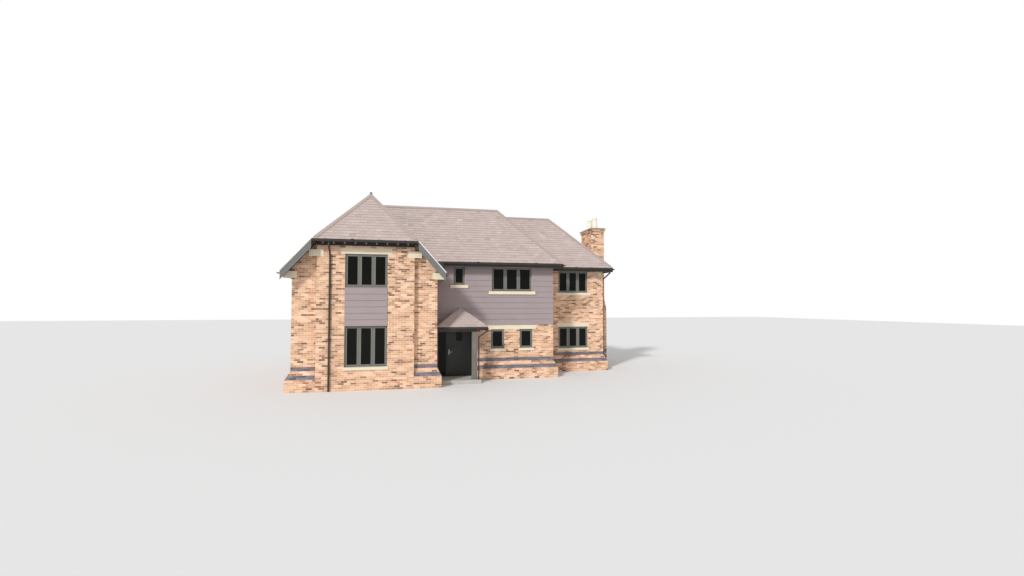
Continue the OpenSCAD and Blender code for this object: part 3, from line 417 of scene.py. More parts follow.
class NodeKit:
    """Short ways to place and join shader nodes."""

    def __init__(self, tree: bpy.types.NodeTree) -> None:
        """Starts work on a tree."""
        self.tree = tree

    def fill(self, node: Node, feeds: Feeds) -> None:
        """Feeds inputs of a node.

        Args:
            node: The node.
            feeds: A socket, a colour or a number for each input, by its name or place.
        """
        for key, source in feeds.items():
            target = node.inputs[key]
            if isinstance(source, Socket):
                self.tree.links.new(source, target)
            else:
                target.default_value = (*source, 1.0) if target.type == "RGBA" else source

    def add(self, kind: str, feeds: Feeds | None = None, **values: object) -> Node:
        """Adds a node.

        Args:
            kind: Blender's name of the node type.
            feeds: What goes into its inputs.
            **values: Properties to set on it.

        Returns:
            The node.
        """
        node = self.tree.nodes.new(kind)
        for key, value in values.items():
            setattr(node, key, value)
        self.fill(node, feeds or {})
        return node

    def noise(self, vector: Socket, scale: Socket | float, detail: float) -> Socket:
        """Adds a noise texture that reads its place from a vector, and gives its 0 to 1 value."""
        node = self.add("ShaderNodeTexNoise", {"Vector": vector, "Scale": scale, "Detail": detail})
        return node.outputs["Fac"]

    def ramp(self, value: Socket, stops: Shades) -> Socket:
        """Adds a colour ramp.

        Args:
            value: What it reads.
            stops: Places and colours.

        Returns:
            The colour.
        """
        node = self.add("ShaderNodeValToRGB", {"Fac": value})
        points = node.color_ramp.elements
        while len(points) < len(stops):
            points.new(0.5)
        for point, (place, colour) in zip(points, stops):
            point.position, point.color = place, (*colour, 1.0)
        return node.outputs["Color"]

    def mix(self, a: Socket | Colour, b: Socket | Colour, factor: Socket | float,
            blend: str = "MIX") -> Socket:
        """Mixes the second colour into the first by a factor, in one of Blender's ways to blend."""
        node = self.add("ShaderNodeMix", {6: a, 7: b, 0: factor}, data_type="RGBA", blend_type=blend)
        return node.outputs[2]

    def times(self, a: Socket, b: Socket) -> Socket:
        """Multiplies two values."""
        return self.add("ShaderNodeMath", {0: a, 1: b}, operation="MULTIPLY").outputs[0]

    def span(self, value: Socket, low: float, high: float) -> Socket:
        """Stretches a 0 to 1 value over a range."""
        node = self.add("ShaderNodeMapRange", {"Value": value, "To Min": low, "To Max": high})
        return node.outputs["Result"]

    def bump(self, height: Socket, strength: float, depth: float) -> Socket:
        """Turns a height into the direction of a bumpy surface, with a depth in metres."""
        node = self.add("ShaderNodeBump", {"Height": height, "Strength": strength, "Distance": depth})
        return node.outputs["Normal"]


def principled(name: str) -> tuple[Material, NodeKit, Node]:
    """Makes a material.

    Args:
        name: Its name.

    Returns:
        The material, a kit for its tree and its shader.
    """
    material = bpy.data.materials.new(name)
    material.use_nodes = True
    return material, NodeKit(material.node_tree), material.node_tree.nodes["Principled BSDF"]


class SharedEffects:
    """Node groups that several finishes use, each built once."""

    BLACK, WHITE = (0.0, 0.0, 0.0), (1.0, 1.0, 1.0)

    def __init__(self) -> None:
        """Builds the groups."""
        self.weathering = self._weathering()
        self.grain = self._grain()

    @staticmethod
    def _open(name: str, inputs: dict[str, tuple[Port, float | Colour]],
              outputs: dict[str, Port]) -> tuple[NodeKit, bpy.types.NodeOutputs, Node, Socket]:
        """Starts a group.

        Args:
            name: Its name.
            inputs: Type and start value of each input.
            outputs: Type of each output.

        Returns:
            A kit for it, what enters it, the node where it ends and the place on the object.
        """
        group = bpy.data.node_groups.new(name, "ShaderNodeTree")
        for label, (port, value) in inputs.items():
            socket = group.interface.new_socket(name=label, in_out="INPUT", socket_type=port.value)
            socket.default_value = (*value, 1.0) if port is Port.COLOUR else value
        for label, port in outputs.items():
            group.interface.new_socket(name=label, in_out="OUTPUT", socket_type=port.value)
        kit = NodeKit(group)
        enter, leave = kit.add("NodeGroupInput"), kit.add("NodeGroupOutput")
        return kit, enter.outputs, leave, kit.add("ShaderNodeTexCoord").outputs["Object"]

    def _weathering(self) -> bpy.types.NodeTree:
        """Builds soft stains and fine speckle over a plain colour.

        Returns:
            The group.
        """
        kit, enter, leave, place = self._open("weathering", {
            "Color": (Port.COLOUR, (0.5, 0.5, 0.5)), "Stain": (Port.COLOUR, (0.2, 0.2, 0.2)),
            "Amount": (Port.VALUE, 0.3), "Scale": (Port.VALUE, 2.0), "Speckle": (Port.VALUE, 60.0),
        }, {"Color": Port.COLOUR, "Mask": Port.VALUE, "Height": Port.VALUE})
        fine = kit.noise(place, enter["Speckle"], 4.0)
        patch = kit.ramp(kit.noise(place, enter["Scale"], 5.0), ((0.35, self.BLACK), (0.7, self.WHITE)))
        stained = kit.mix(enter["Color"], enter["Stain"], kit.times(patch, enter["Amount"]))
        speck = kit.span(fine, 0.82, 1.18)
        grey = kit.add("ShaderNodeCombineColor", {"Red": speck, "Green": speck, "Blue": speck})
        speckled = kit.mix(stained, grey.outputs["Color"], 1.0, "MULTIPLY")
        kit.fill(leave, {"Color": speckled, "Mask": patch, "Height": fine})
        return kit.tree

    def _grain(self) -> bpy.types.NodeTree:
        """Builds wood grain that runs along a stretched direction.

        Returns:
            The group.
        """
        kit, enter, leave, place = self._open("wood_grain", {
            "Color": (Port.COLOUR, (0.5, 0.4, 0.3)), "Dark": (Port.COLOUR, (0.2, 0.15, 0.1)),
            "Amount": (Port.VALUE, 0.5), "Stretch": (Port.VECTOR, (1.0, 1.0, 1.0)),
        }, {"Color": Port.COLOUR, "Height": Port.VALUE})
        scaled = kit.add("ShaderNodeVectorMath", {0: place, 1: enter["Stretch"]}, operation="MULTIPLY")
        streak = kit.noise(scaled.outputs[0], 1.0, 8.0)
        mask = kit.times(kit.ramp(streak, ((0.38, self.BLACK), (0.62, self.WHITE))), enter["Amount"])
        kit.fill(leave, {"Color": kit.mix(enter["Color"], enter["Dark"], mask), "Height": streak})
        return kit.tree


@dataclass(frozen=True)
class Finish:
    """A finish with soft weathering, grain if it is wood, and one colour or shades from piece to piece."""

    name: str
    colour: Colour | Shades
    stain: Colour
    amount: float = 0.3
    scale: float = 2.0
    speckle: float = 60.0
    rough: Point2 = (0.6, 0.85)
    bump: float = 0.1
    depth: float = 0.002
    metallic: float = 0.0
    grain: Point3 | None = None
    grain_amount: float = 0.5
    band: Shades = ()

    def base(self, kit: NodeKit) -> Socket | Colour:
        """Gives the colour before weathering.


        Returns:
            A socket where each piece has its own shade, or the plain colour.
        """
        if isinstance(self.colour[0], float):
            return self.colour
        tone = kit.add("ShaderNodeAttribute", attribute_name="tone").outputs["Fac"]
        shaded = kit.ramp(tone, self.colour)
        if self.band:
            kind = kit.add("ShaderNodeAttribute", attribute_name="kind").outputs["Fac"]
            shaded = kit.mix(shaded, kit.ramp(tone, self.band), kind)
        return shaded

    def make(self, effects: SharedEffects) -> Material:
        """Builds the material.

        Args:
            effects: The shared groups.

        Returns:
            The material.
        """
        material, kit, shader = principled(self.name)
        source, wood = self.base(kit), None
        if self.grain:
            wood = kit.add("ShaderNodeGroup", {"Color": source, "Dark": self.stain, "Stretch": self.grain,
                                               "Amount": self.grain_amount}, node_tree=effects.grain)
            source = wood.outputs["Color"]
        worn = kit.add("ShaderNodeGroup", {"Color": source, "Stain": self.stain, "Amount": self.amount,
                                           "Scale": self.scale, "Speckle": self.speckle},
                       node_tree=effects.weathering)
        height = (wood if self.grain else worn).outputs["Height"]
        kit.fill(shader, {"Base Color": worn.outputs["Color"], "Metallic": self.metallic,
                          "Roughness": kit.span(worn.outputs["Mask"], *self.rough),
                          "Normal": kit.bump(height, self.bump, self.depth)})
        return material


@dataclass(frozen=True)
class GlassFinish:
    """Sealed window glass that looks dark from outside."""

    name: str = "sealed_window_glass"
    colour: Colour = (0.004, 0.0045, 0.0035)
    dust: Colour = (0.010, 0.011, 0.009)
    amount: float = 0.35
    scale: float = 1.4
    rough: Point2 = (0.03, 0.09)
    wave: Point2 = (0.04, 0.01)
    clear: float = 0.12
    bend: float = 1.3
    shine: float = 0.3

    def make(self, effects: SharedEffects) -> Material:
        """Builds the material.

        Args:
            effects: The shared groups.

        Returns:
            The material.
        """
        material, kit, shader = principled(self.name)
        worn = kit.add("ShaderNodeGroup", {"Color": self.colour, "Stain": self.dust, "Amount": self.amount,
                                           "Scale": self.scale}, node_tree=effects.weathering)
        mask = worn.outputs["Mask"]
        kit.fill(shader, {"Base Color": worn.outputs["Color"], "Roughness": kit.span(mask, *self.rough),
                          "Transmission Weight": self.clear, "IOR": self.bend,
                          "Specular IOR Level": self.shine, "Normal": kit.bump(mask, *self.wave)})
        return material


BRICK_SHADES = (
    (0.0, (0.17, 0.08, 0.048)), (0.07, (0.31, 0.155, 0.09)), (0.16, (0.49, 0.26, 0.15)),
    (0.32, (0.66, 0.38, 0.225)), (0.7, (0.79, 0.475, 0.295)), (1.0, (0.93, 0.64, 0.44)),
)
BAND_SHADES = ((0.0, (0.085, 0.085, 0.115)), (0.5, (0.15, 0.14, 0.175)), (1.0, (0.24, 0.20, 0.225)))
TILE_SHADES = (
    (0.0, (0.42, 0.335, 0.305)), (0.3, (0.49, 0.40, 0.37)), (0.7, (0.545, 0.45, 0.42)),
    (1.0, (0.61, 0.515, 0.48)),
)
FINISHES = (
    Finish("facing_brick", BRICK_SHADES, (0.45, 0.28, 0.18), 0.2, 1.1, 90.0, (0.75, 0.92), 0.5, 0.004,
           band=BAND_SHADES),
    Finish("lime_mortar", (0.94, 0.84, 0.70), (0.80, 0.69, 0.55), 0.3, 1.4, 160.0, (0.85, 0.96), 0.5, 0.003),
    Finish("plain_roof_tile", TILE_SHADES, (0.44, 0.37, 0.33), 0.35, 0.7, 55.0, (0.72, 0.9), 0.3, 0.003),
    Finish("porch_roof_tile", TILE_SHADES, (0.5, 0.42, 0.38), 0.3, 1.6, 55.0, (0.72, 0.9), 0.3, 0.003),
    Finish("roof_underlay", (0.040, 0.034, 0.030), (0.065, 0.056, 0.050), 0.4, 1.5, 50.0),
    Finish("ridge_clay", (0.43, 0.35, 0.32), (0.34, 0.28, 0.255), 0.35, 1.2, 60.0, (0.72, 0.9), 0.35, 0.003),
    Finish("crown_sheet", (0.22, 0.22, 0.23), (0.15, 0.15, 0.15), 0.4, 0.8, 30.0, (0.5, 0.7), 0.15),
    Finish("roof_lead", (0.15, 0.155, 0.165), (0.25, 0.255, 0.26), 0.4, 6.0, 60.0, (0.45, 0.65), 0.2),
    Finish("verge_mortar", (0.86, 0.83, 0.78), (0.62, 0.59, 0.54), 0.4, 3.0, 90.0, (0.8, 0.95), 0.5, 0.003),
    Finish("dressed_stone", (0.82, 0.72, 0.54), (0.62, 0.53, 0.39), 0.25, 2.6, 120.0, (0.7, 0.88), 0.4,
           0.003),
    Finish("cap_mortar", (0.36, 0.31, 0.245), (0.2, 0.175, 0.14), 0.5, 3.4, 90.0, (0.8, 0.95), 0.5, 0.004),
    Finish("step_stone", (0.50, 0.48, 0.44), (0.34, 0.33, 0.3), 0.4, 2.2, 90.0, (0.7, 0.88), 0.4, 0.003),
    Finish("boarding_paint", (0.365, 0.298, 0.300), (0.28, 0.232, 0.238), 0.25, 1.3, 40.0, (0.55, 0.75), 0.3,
           0.0015, grain=(1.4, 30.0, 46.0), grain_amount=0.22),
    Finish("frame_paint", (0.165, 0.165, 0.146), (0.22, 0.22, 0.198), 0.25, 3.0, 50.0, (0.32, 0.5), 0.05,
           0.001),
    Finish("door_paint", (0.012, 0.0145, 0.0130), (0.022, 0.025, 0.023), 0.3, 2.4, 50.0, (0.35, 0.55), 0.15,
           0.001, grain=(36.0, 30.0, 2.0), grain_amount=0.25),
    Finish("barge_paint", (0.155, 0.157, 0.150), (0.2, 0.2, 0.19), 0.35, 2.0, 40.0, (0.45, 0.65), 0.2, 0.001,
           grain=(2.0, 30.0, 30.0), grain_amount=0.2),
    # Grey oak of the porch post, darkened by painted shade for the shadow that half covers it.
    Finish("weathered_oak_and_painted_shade", (0.215, 0.197, 0.175), (0.12, 0.108, 0.094), rough=(0.65, 0.85), bump=0.6,
           depth=0.003, grain=(26.0, 26.0, 1.6), grain_amount=0.6),
    # Dark oak of the porch beams, darkened further by painted shade for the shadow under the porch eaves.
    Finish("oak_beam_and_painted_shade", (0.085, 0.076, 0.066), (0.05, 0.044, 0.038), rough=(0.65, 0.85), bump=0.6, depth=0.003,
           grain=(1.6, 26.0, 26.0), grain_amount=0.6),
    # The soffit's near-black colour is painted shade: it stands in for the shadow under the eaves.
    Finish("soffit_painted_shade", (0.030, 0.026, 0.024), (0.018, 0.016, 0.014), speckle=50.0, rough=(0.6, 0.8),
           bump=0.4, grain=(2.0, 26.0, 26.0)),
    Finish("rafter_timber", (0.27, 0.23, 0.185), (0.28, 0.24, 0.19), speckle=50.0, rough=(0.6, 0.8), bump=0.4,
           grain=(26.0, 2.0, 26.0)),
    # Dark gutters, darkened further by painted shade for the shadow under the eaves.
    Finish("gutter_coating_and_painted_shade", (0.036, 0.032, 0.028), (0.065, 0.058, 0.052), 0.35, 3.0, rough=(0.35, 0.55),
           bump=0.05, depth=0.001),
    Finish("rainwater_coating", (0.034, 0.031, 0.030), (0.065, 0.06, 0.056), 0.35, 3.0, rough=(0.3, 0.5),
           bump=0.05, depth=0.001),
    Finish("satin_steel", (0.36, 0.36, 0.35), (0.26, 0.26, 0.25), 0.25, 8.0, 200.0, (0.25, 0.4), 0.1, 0.0005,
           metallic=1.0, grain=(20.0, 240.0, 240.0), grain_amount=0.2),
    Finish("pot_clay", (0.92, 0.86, 0.71), (0.70, 0.62, 0.48), 0.35, 4.0, 70.0, (0.6, 0.8), 0.3),
    Finish("floor_screed", (0.38, 0.36, 0.34), (0.28, 0.27, 0.25), 0.3, 1.2, 40.0),
    Finish("floor_boards", (0.42, 0.30, 0.19), (0.28, 0.2, 0.12), 0.3, 1.2, 40.0, grain=(2.0, 30.0, 30.0)),
    GlassFinish(),
)


class Materials(dict[str, Material]):
    """All finishes of the house, by name."""

    def __init__(self) -> None:
        """Builds every finish."""
        effects = SharedEffects()
        super().__init__({finish.name: finish.make(effects) for finish in FINISHES})


@dataclass
class WallFace:
    """One flat stretch of brickwork, with the rectangles that its bricks keep out of."""

    plane: Plane
    outline: Outline
    holes: list[Rect] = field(default_factory=list)
    bands: bool = True

    def __post_init__(self) -> None:
        """Turns the corners anticlockwise."""
        self.outline = anticlockwise(self.outline)

    def fit(self, rect: Rect) -> list[Outline]:
        """Cuts a rectangle to the stretch and around its holes.

        Args:
            rect: Near end, foot, far end and top.

        Returns:
            The outlines that stay.
        """
        parts = [rect]
        for hole in self.holes:
            parts = [rest for part in parts for rest in around(part, hole)]
        return [cut for cut in (clip_to(corners(*part), self.outline) for part in parts) if cut]


@dataclass
class Brickwork:
    """Lays facing bricks in stretcher bond, and fills the joints of the dark courses with dark mortar.

    Bricks and beds stand proud of the wall's face, and their roots lie behind it.
    """

    materials: Materials
    length: float = 0.215
    height: float = 0.065
    joint: float = 0.010
    proud: float = 0.004
    uneven: float = 0.0012
    root: float = 0.002
    least: float = 0.012
    bed_proud: float = 0.0012
    bed_root: float = 0.001
    bed_tone: float = 0.8
    stone_depth: float = 0.32
    stone_proud: float = 0.06
    dark_courses: tuple[Point2, ...] = ((0.45, 0.60), (0.75, 0.90))
    rng: random.Random = field(default_factory=lambda: random.Random(11))

    @property
    def course(self) -> float:
        """Height of a course with its bed."""
        return self.height + self.joint

    def stones(self, plane: Plane, nodes: tuple[str, ...]) -> list[Rect]:
        """Finds what sits in a wall.

        Args:
            plane: The face of the wall.
            nodes: Nodes whose solids are cut into it.

        Returns:
            A hole for each solid.
        """
        holes = []
        for low, high in (box for node in nodes for box in solids(node)):
            points = [Vector((x, y, z)) for x in (low.x, high.x) for y in (low.y, high.y)
                      for z in (low.z, high.z)]
            back = min((point - plane.origin).dot(plane.out) for point in points)
            if -self.stone_depth <= back <= self.stone_proud:
                us, vs = zip(*(plane.flat(point) for point in points))
                holes.append((min(us), min(vs), max(us), max(vs)))
        return holes

    def lay(self, shell: Shell, face: WallFace) -> None:
        """Lays one stretch.

        Args:
            shell: The mesh that takes the bricks.
            face: The stretch.
        """
        us, vs = zip(*face.outline)
        base_z, rise = face.plane.origin.z, face.plane.up.z
        step = self.length + self.joint
        first = math.floor(min(vs) * rise / self.course + base_z / self.course)
        last = math.ceil((max(vs) * rise + base_z) / self.course)
        for row in range(first, last + 1):
            z0 = row * self.course + self.joint / 2
            v0, v1 = (z0 - base_z) / rise, (z0 + self.height - base_z) / rise
            kind = Kind.PLAIN
            if face.bands and any(a < z0 + self.height / 2 < b for a, b in self.dark_courses):
                kind = Kind.BAND
                for bed in face.fit((min(us), v0 - self.joint / 2, max(us), v1 + self.joint / 2)):
                    shell.add_prism(face.plane, bed, -self.bed_root, [self.bed_proud] * len(bed),
                                    self.bed_tone, kind)
            for u0 in starts(us, (row % 2) * step / 2, step):
                tone = self.rng.random()
                for brick in face.fit((u0, v0, u0 + self.length, v1)):
                    if area(brick) >= self.least * self.least:
                        lift = self.proud + self.rng.uniform(-self.uneven, self.uneven)
                        shell.add_prism(face.plane, brick, -self.root, [lift] * len(brick), tone, kind)


@dataclass
class FacingWalls:
    """All brick faces of the house, grouped by the side they stand on."""

    bricks: Brickwork
    plan: HousePlan = PLAN
    stones: tuple[str, ...] = (
        "lower_window_frames", "upper_window_frames", "stone_lintels", "stone_sills", "kneeler_stones")
    shaft_foot_z: float = 5.2

    def face(self, foot: Point2, along: Vector, outline: Outline, bands: bool = True) -> WallFace:
        """Makes an upright stretch with its holes, from the foot of its near end in plan."""
        plane = Plane(Vector((*foot, 0)), along, Z)
        return WallFace(plane, outline, self.bricks.stones(plane, self.stones), bands)

    def rectangle(self, foot: Point2, along: Vector, u1: float, z0: float, z1: float, bands: bool = True,
                  u0: float = 0.0) -> WallFace:
        """Makes an upright rectangular stretch from u0 to u1 along and z0 to z1 up."""
        return self.face(foot, along, corners(u0, z0, u1, z1), bands)

    def rectangles(self, *rows: tuple) -> list[WallFace]:
        """Makes a rectangular stretch from each row."""
        return [self.rectangle(*row) for row in rows]

    def wing(self) -> list[WallFace]:
        """Sets out the faces of the wing's front, bay and inner side.

        Returns:
            The stretches.
        """
        p, e = self.plan, self.bricks.proud
        (left, right), bay_y = p.bay, p.y0 - p.bay_out
        return [
            self.face((p.x0, p.y0), X, [
                (-e, p.splay_z), (left - p.x0, p.splay_z), (left - p.x0, p.wing_under(left)),
                (-e, p.wing_under(p.x0))]),
            self.face((right, p.y0), X, [
                (0, p.splay_z), (p.x1 - right + e, p.splay_z), (p.x1 - right + e, p.wing_under(p.x1)),
                (0, p.wing_under(right))]),
        ] + self.rectangles(
            ((left, bay_y), X, right - left + e, 0.0, p.gable_z, False, -e),
            ((left, p.y0), -Y, p.bay_out, 0.0, p.gable_z, False),
            ((right, bay_y), Y, p.bay_out, 0.0, p.gable_z, False),
            ((p.x1, p.y0), Y, p.y1 - p.y0 - p.clad_t, p.splay_z, p.wing_under(p.x1)))

    def middle(self) -> list[WallFace]:
        """Sets out the faces of the middle part's front, its right side and the reveals of the doorway.

        Returns:
            The stretches.
        """
        p, e = self.plan, self.bricks.proud
        return self.rectangles(
            ((p.door_x1, p.y1), X, p.x2 - p.door_x1 + e, p.splay_z, p.clad_z),
            ((p.x1, p.y1), X, p.door_x0 - p.x1, p.floor_z, p.door_head_z, False),
            ((p.x2, p.y1), Y, p.y2 - p.y1, p.splay_z, p.soffit_z),
            ((p.door_x1, p.y1 + p.reveal), -Y, p.reveal, p.floor_z, p.door_head_z, False),
            ((p.door_x0, p.y1), Y, p.reveal, p.floor_z, p.door_head_z, False))

    def right(self) -> list[WallFace]:
        """Sets out the faces of the right part's front and end.

        Returns:
            The stretches.
        """
        p, e = self.plan, self.bricks.proud
        near, far = p.breast
        return self.rectangles(
            ((p.x2, p.y2), X, p.x3 - p.x2 + e, p.splay_z, p.soffit_z),
            ((p.x3, p.y2), Y, near - p.y2, p.splay_z, p.soffit_z),
            ((p.x3, far), Y, p.y3 - far + e, p.splay_z, p.soffit_z))

    def rear(self) -> list[WallFace]:
        """Sets out the faces of the back.

        Returns:
            The stretches.
        """
        p, e = self.plan, self.bricks.proud
        join = p.xwr - (p.soffit_z + p.wing_skin - p.wing_eave_z) / p.wing_rise
        half = (p.xwr - p.wing_x) - (p.wall_top_z + p.wing_skin - p.wing_eave_z) / p.wing_rise
        end = p.x3 - p.x0 + e
        return [
            self.rectangle((p.x3, p.y3), -X, p.x3 - join, p.splay_z, p.soffit_z, True, -e),
            self.face((p.x3, p.y3), -X, [
                (p.x3 - join, p.splay_z), (end, p.splay_z), (end, p.wing_under(p.x0)),
                (p.x3 - p.wing_x + half, p.wall_top_z), (p.x3 - p.wing_x - half, p.wall_top_z),
                (p.x3 - join, p.soffit_z)]),
        ]

    def left(self) -> list[WallFace]:
        """Gives the face of the left side."""
        p = self.plan
        return [self.rectangle((p.x0, p.y3), -Y, p.y3 - p.y0, p.splay_z, p.wing_under(p.x0))]

    def plinth(self) -> list[WallFace]:
        """Sets out the upright and splayed faces of the plinth, mitred at its corners.

        Returns:
            The stretches.
        """
        p, o = self.plan, self.plan.bay_out
        (left, right), (near, far) = p.bay, p.breast
        runs = [
            ((p.x0, p.y0), X, left - p.x0, 1, 0), ((right, p.y0), X, p.x1 - right, 0, 1),
            ((p.x1, p.y0), Y, p.y1 - p.y0, 1, 0), ((p.door_x1, p.y1), X, p.x2 - p.door_x1, 0, 1),
            ((p.x2, p.y1), Y, p.y2 - p.y1, 1, -1), ((p.x2, p.y2), X, p.x3 - p.x2, -1, 1),
            ((p.x3, p.y2), Y, near - p.y2, 1, 0), ((p.x3, far), Y, p.y3 - far, 0, 1),
            ((p.x3, p.y3), -X, p.x3 - p.x0, 1, 1), ((p.x0, p.y3), -Y, p.y3 - p.y0, 1, 1),
        ]
        rise = p.splay_z - p.plinth_z
        slope = math.hypot(rise, o)
        faces = []
        for foot, along, length, start, end in runs:
            out = along.cross(Z)
            foot = Vector((*foot, 0)) + out * o
            a, b = -start * o, length + end * o
            up = (Z * rise - out * o).normalized()
            faces += [
                WallFace(Plane(foot, along, Z), corners(a, 0, b, p.plinth_z)),
                WallFace(Plane(foot + Z * p.plinth_z, along, up),
                         [(a, 0), (b, 0), (length, slope), (0, slope)]),
            ]
        return faces

    def chimney(self) -> list[WallFace]:
        """Sets out the faces of the corbels, the breast, the shoulders and the shaft.

        Returns:
            The stretches.
        """
        p, e = self.plan, self.bricks.proud
        breast, half = p.breast_w / 2, p.stack_w / 2
        shaft_z = p.shoulder_z + breast - half + (breast - half)
        top, out_x = p.cap_z - p.cap_t, p.x3 + p.stack_d
        neck, rise = top - 2 * p.corbel_h, shaft_z - p.shoulder_z
        faces = []
        for i in (1, 2):
            o, z0, z1 = i * p.cap_over / 3, top - (3 - i) * p.corbel_h, top - (2 - i) * p.corbel_h
            near, far, inner, outer = p.stack_y - half - o, p.stack_y + half + o, p.x3 - o, out_x + o
            wide, deep = far - near, outer - inner
            faces += self.rectangles(
                ((outer, near), Y, wide, z0, z1, False), ((inner, near), X, deep, z0, z1, False),
                ((outer, far), -X, deep, z0, z1, False), ((inner, far), -Y, wide, z0, z1, False))
        (near, far), (shaft_near, shaft_far) = p.breast, p.stack
        faces += [
            self.rectangle((out_x, near), Y, 2 * breast + e, 0.0, p.shoulder_z, True, -e),
            self.face((out_x, p.stack_y), Y, [
                (-breast, p.shoulder_z), (breast, p.shoulder_z), (half, shaft_z), (-half, shaft_z)], False),
        ] + self.rectangles(
            ((out_x, p.stack_y), Y, half + e, shaft_z, neck, False, -half - e),
            ((p.x3, near), X, p.stack_d, 0.0, p.shoulder_z), ((out_x, far), -X, p.stack_d, 0.0, p.shoulder_z),
            ((p.x3, shaft_near), X, p.stack_d, shaft_z, neck, False),
            ((out_x, shaft_far), -X, p.stack_d, shaft_z, neck, False),
            ((p.x3, shaft_far), -Y, 2 * half, self.shaft_foot_z, neck, False))
        for x, y, along, inwards in ((p.x3, near, X, breast - half), (out_x, far, -X, half - breast)):
            up = Vector((0, inwards, rise)).normalized()
            faces.append(WallFace(Plane(Vector((x, y, p.shoulder_z)), along, up),
                                  corners(0, 0, p.stack_d, math.hypot(rise, breast - half)), bands=False))
        return faces

    def build(self) -> None:
        """Lays every face."""
        groups = {
            "wing": self.wing(), "middle": self.middle(), "right": self.right(), "rear": self.rear(),
            "left": self.left(), "plinth": self.plinth(), "chimney": self.chimney(),
        }
        for side, faces in groups.items():
            shell = Shell(f"bricks_{side}")
            for face in faces:
                self.bricks.lay(shell, face)
            shell.build(self.bricks.materials["facing_brick"], "brick")


